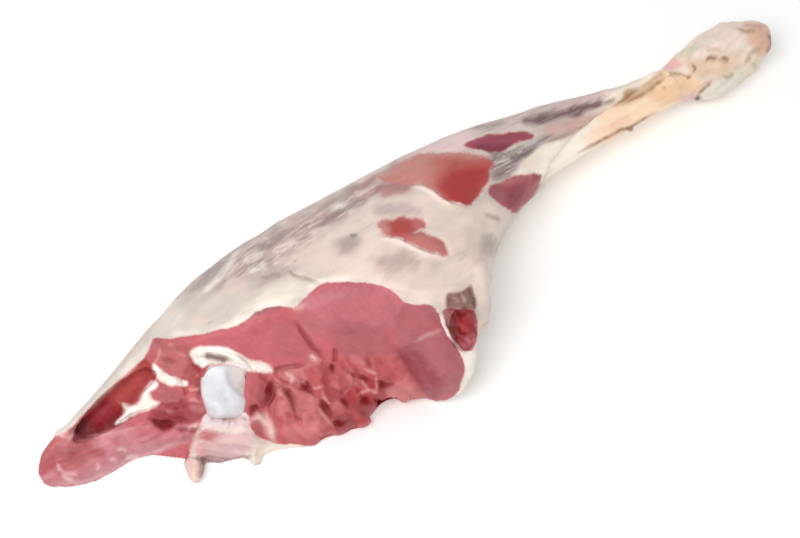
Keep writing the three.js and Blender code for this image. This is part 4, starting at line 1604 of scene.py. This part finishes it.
# %% [markdown]
# ## Fat, film and flecks
# Further masks mark white fat, the painted shade in the slot above the ball and the pearly band below it,
# clefts too deep for any sheen, the film that veils some of the openings, crumbs of fat along the upper
# contour, and the cords of the tendons. As masks they can be changed one by one in the material.

# %% Where fat, film, flecks and cords lie
white = np.zeros(len(surface.points))
for outline in (BALL_CAP, CAP_SINEW, POCKET_FAT, HIP_FAT):
    white = np.maximum(white, edge_value(surface.depth_in(outline)))
surface.keep("white", np.minimum(white, surface.seen))
# where the slot above the ball gets its painted shade
surface.keep("slot", surface.line(BALL_SLOT, 5.5))
surface.keep("pearl", surface.patch(BALL_TOP, 2.5))
deep = 0.6 * surface.patch(POCKET, 5)
for spots, wide, depth in CLEFTS + HIP_CLEFTS:
    deep = np.maximum(deep, surface.line(spots, CLEFT_SHADE_SPREAD * wide, wedge=True))
surface.keep("deep", deep)

FILM = [  # outline, softness in pixels, strength
    ([(372, 182), (396, 158), (428, 148), (440, 168), (426, 192), (398, 188)], 16, 0.6),
    ([(416, 150), (446, 150), (484, 152), (480, 158), (430, 158)], 4, 0.6),
    ([(418, 232), (436, 238), (450, 256), (430, 253), (412, 244)], 6, 0.2),
    ([(376, 222), (386, 218), (388, 236), (380, 232)], 5, 0.7),
    ([(500, 182), (516, 176), (530, 177), (512, 186)], 4, 0.4),
    ([(440, 310), (448, 308), (456, 336), (450, 334)], 4, 0.4),
]
film = np.zeros(len(surface.points))
for outline, soft, strength in FILM:
    film = np.maximum(film, surface.patch(outline, soft) * strength)
surface.keep("film", film)
UPPER_CONTOUR = [
    (206, 276), (240, 248), (290, 224), (340, 200), (392, 166), (410, 170), (370, 200), (330, 226),
    (290, 256), (240, 280),
]
surface.keep("flecks", surface.patch(UPPER_CONTOUR, 12))
CORDS = [(490, 156), (510, 151), (528, 143), (552, 136), (534, 150), (518, 166), (502, 178), (490, 176)]
CALF_STREAKS = [(460, 136), (500, 114), (560, 98), (606, 90), (612, 100), (560, 118), (500, 130)]
cords = np.maximum(surface.patch(CORDS, 4), 0.45 * surface.patch(CALF_STREAKS, 8))
surface.keep("cords", cords)
print("Values kept for each point of the flesh:", len(flesh.data.attributes))

# %% [markdown]
# ## The flesh's material
# Raw meat is moist, slightly see-through and never one colour. Its two coats meet along a ragged edge, which
# is a mask with fine noise added and then cut off sharply. An image texture could hold such an edge too, but
# noise stays sharp from any distance.

# %% Edges between the coats
raw_flesh, tree, shader = new_finish("raw_flesh")
ragged_fine = grain(tree, (1, 1, 1), 520.0, 5.0, 0.65)
ragged_wide = grain(tree, (1, 1, 1), 130.0, 3.0, 0.5)
fine_wander = sums(tree, "MULTIPLY", ragged_fine, 0.1)
wander = sums(tree, "ADD", fine_wander, sums(tree, "MULTIPLY", ragged_wide, 0.2))
wander = sums(tree, "SUBTRACT", wander, 0.15)
is_bare = spread(tree, sums(tree, "ADD", stored(tree, "bare"), wander), 0.43, 0.57)
is_white = spread(tree, sums(tree, "ADD", stored(tree, "white"), wander), 0.36, 0.64)
print("Nodes for the edges:", len(tree.nodes))

# %% [markdown]
# ## The flesh's grain
# Muscle has short pale fibres and slow changes of tone. Two noises vary its coat, and the film over some of
# the openings is mixed in along longer fibres. Noise suits these, because they have no outline to follow.

# %% The flesh's grain
soft_tone = grain(tree, (1, 1, 1), 70.0, 3.0, 0.5)
short_grain = grain(tree, (0.6, 1.0, 1.0), 430.0, 4.0, 0.6)
fibre = grain(tree, (0.16, 1.0, 1.0), 480.0, 3.0, 0.55, (0.0, 0.1, 0.1))
tone = vary(tree, soft_tone, 0.44, 0.56)
tone = sums(tree, "ADD", tone, vary(tree, short_grain, 0.45, 0.55))
meat = scaled(tree, stored(tree, "flesh_coat", 0), tone)
meat = blend(tree, spread(tree, short_grain, 0.62, 0.8, 0.0, 0.12), meat, (222, 156, 154))
film_share = sums(tree, "MULTIPLY", stored(tree, "film"), vary(tree, fibre, 0.7, 1.05))
meat = blend(tree, film_share, meat, (204, 152, 142))
print("Nodes with the flesh's grain:", len(tree.nodes))

# %% [markdown]
# ## The cover's streaks and flecks
# Fascia is streaked along the leg, with threads over the tendons and crumbs of fat on the upper contour. Each
# is noise drawn out along the leg, and the masks make it stronger where the real leg shows more of it.

# %% The cover's streaks and flecks
cloud = grain(tree, (0.4, 1.0, 1.0), 44.0, 4.0, 0.55)
streak = grain(tree, (0.25, 1.0, 1.0), 130.0, 4.0, 0.55)
weave = grain(tree, (0.4, 1.0, 1.0), 420.0, 4.0, 0.6)
fleck = grain(tree, (0.35, 1.0, 1.0), 210.0, 4.0, 0.6)
thread = grain(tree, (0.05, 1.0, 1.0), 520.0, 2.0, 0.5, (0.0, 0.29, 0.1))
shade = vary(tree, cloud, 0.44, 0.56)
shade = sums(tree, "ADD", shade, vary(tree, streak, 0.45, 0.54))
cover = scaled(tree, stored(tree, "cover_coat", 0), shade)
cover = blend(tree, spread(tree, weave, 0.55, 0.75, 0.0, 0.2), cover, (238, 222, 213))
veil = sums(tree, "ADD", sums(tree, "MULTIPLY", streak, 0.6), sums(tree, "MULTIPLY", thread, 0.4))
veil = sums(tree, "ADD", veil, sums(tree, "MULTIPLY", stored(tree, "flecks"), -0.16))
cover = blend(tree, spread(tree, veil, 0.42, 0.22, 0.0, 0.65), cover, (156, 130, 129))
fat_flecks = sums(tree, "ADD", fleck, sums(tree, "MULTIPLY", stored(tree, "flecks"), 0.12))
cover = blend(tree, spread(tree, fat_flecks, 0.61, 0.76, 0.0, 0.55), cover, (236, 216, 208))
cords = stored(tree, "cords")
dark_cords = sums(tree, "MULTIPLY", cords, spread(tree, thread, 0.48, 0.34, 0.0, 0.6))
cover = blend(tree, dark_cords, cover, (112, 92, 96))
pale_cords = sums(tree, "MULTIPLY", cords, spread(tree, thread, 0.56, 0.66, 0.0, 0.7))
cover = blend(tree, pale_cords, cover, (214, 200, 198))
print("Nodes with the cover's streaks:", len(tree.nodes))

# %% [markdown]
# ## One moist surface
# Cover, meat, fat and the painted shade in the slot are laid over each other as they lie on the leg. The
# surface is moist but not glossy, and a low subsurface share lets the light sink in a little. No sheen
# reaches down into the clefts, so they stay a deep red.

# %% All of it on the shader
fat = blend(tree, vary(tree, ragged_wide, 0.0, 1.0), (244, 228, 217), (253, 247, 238))
skin = blend(tree, is_bare, cover, meat)
skin = blend(tree, is_white, skin, fat)
skin = blend(tree, sums(tree, "MULTIPLY", stored(tree, "pearl"), 0.9), skin, (218, 214, 214))
# painted shade: the slot above the ball is painted dark brown
skin = blend(tree, sums(tree, "MULTIPLY", stored(tree, "slot"), 0.9), skin, (120, 84, 80))
tree.links.new(skin, shader.inputs["Base Color"])
gloss = wire(tree, "ShaderNodeMix", {0: is_bare, 2: 0.52, 3: 0.5})
gloss = sums(tree, "ADD", gloss, vary(tree, soft_tone, -0.08, 0.1))
tree.links.new(gloss, shader.inputs["Roughness"])
sheen = spread(tree, stored(tree, "deep"), 0.0, 1.0, 0.5, 0.1)
tree.links.new(sheen, shader.inputs["Specular IOR Level"])
cover_relief = sums(tree, "ADD", weave, streak)
flesh_relief = sums(tree, "ADD", short_grain, ragged_fine)
relief = wire(tree, "ShaderNodeMix", {0: is_bare, 2: cover_relief, 3: flesh_relief})
bumpy(tree, shader, relief, 0.4, 0.6 * MM)
moist(shader, depth=3.0 * MM, radius=(1.0, 0.35, 0.25), share=0.15, coat=0.03)
hand_over(flesh, raw_flesh, "leg_meat")
print("The flesh's material has", len(tree.nodes), "nodes")
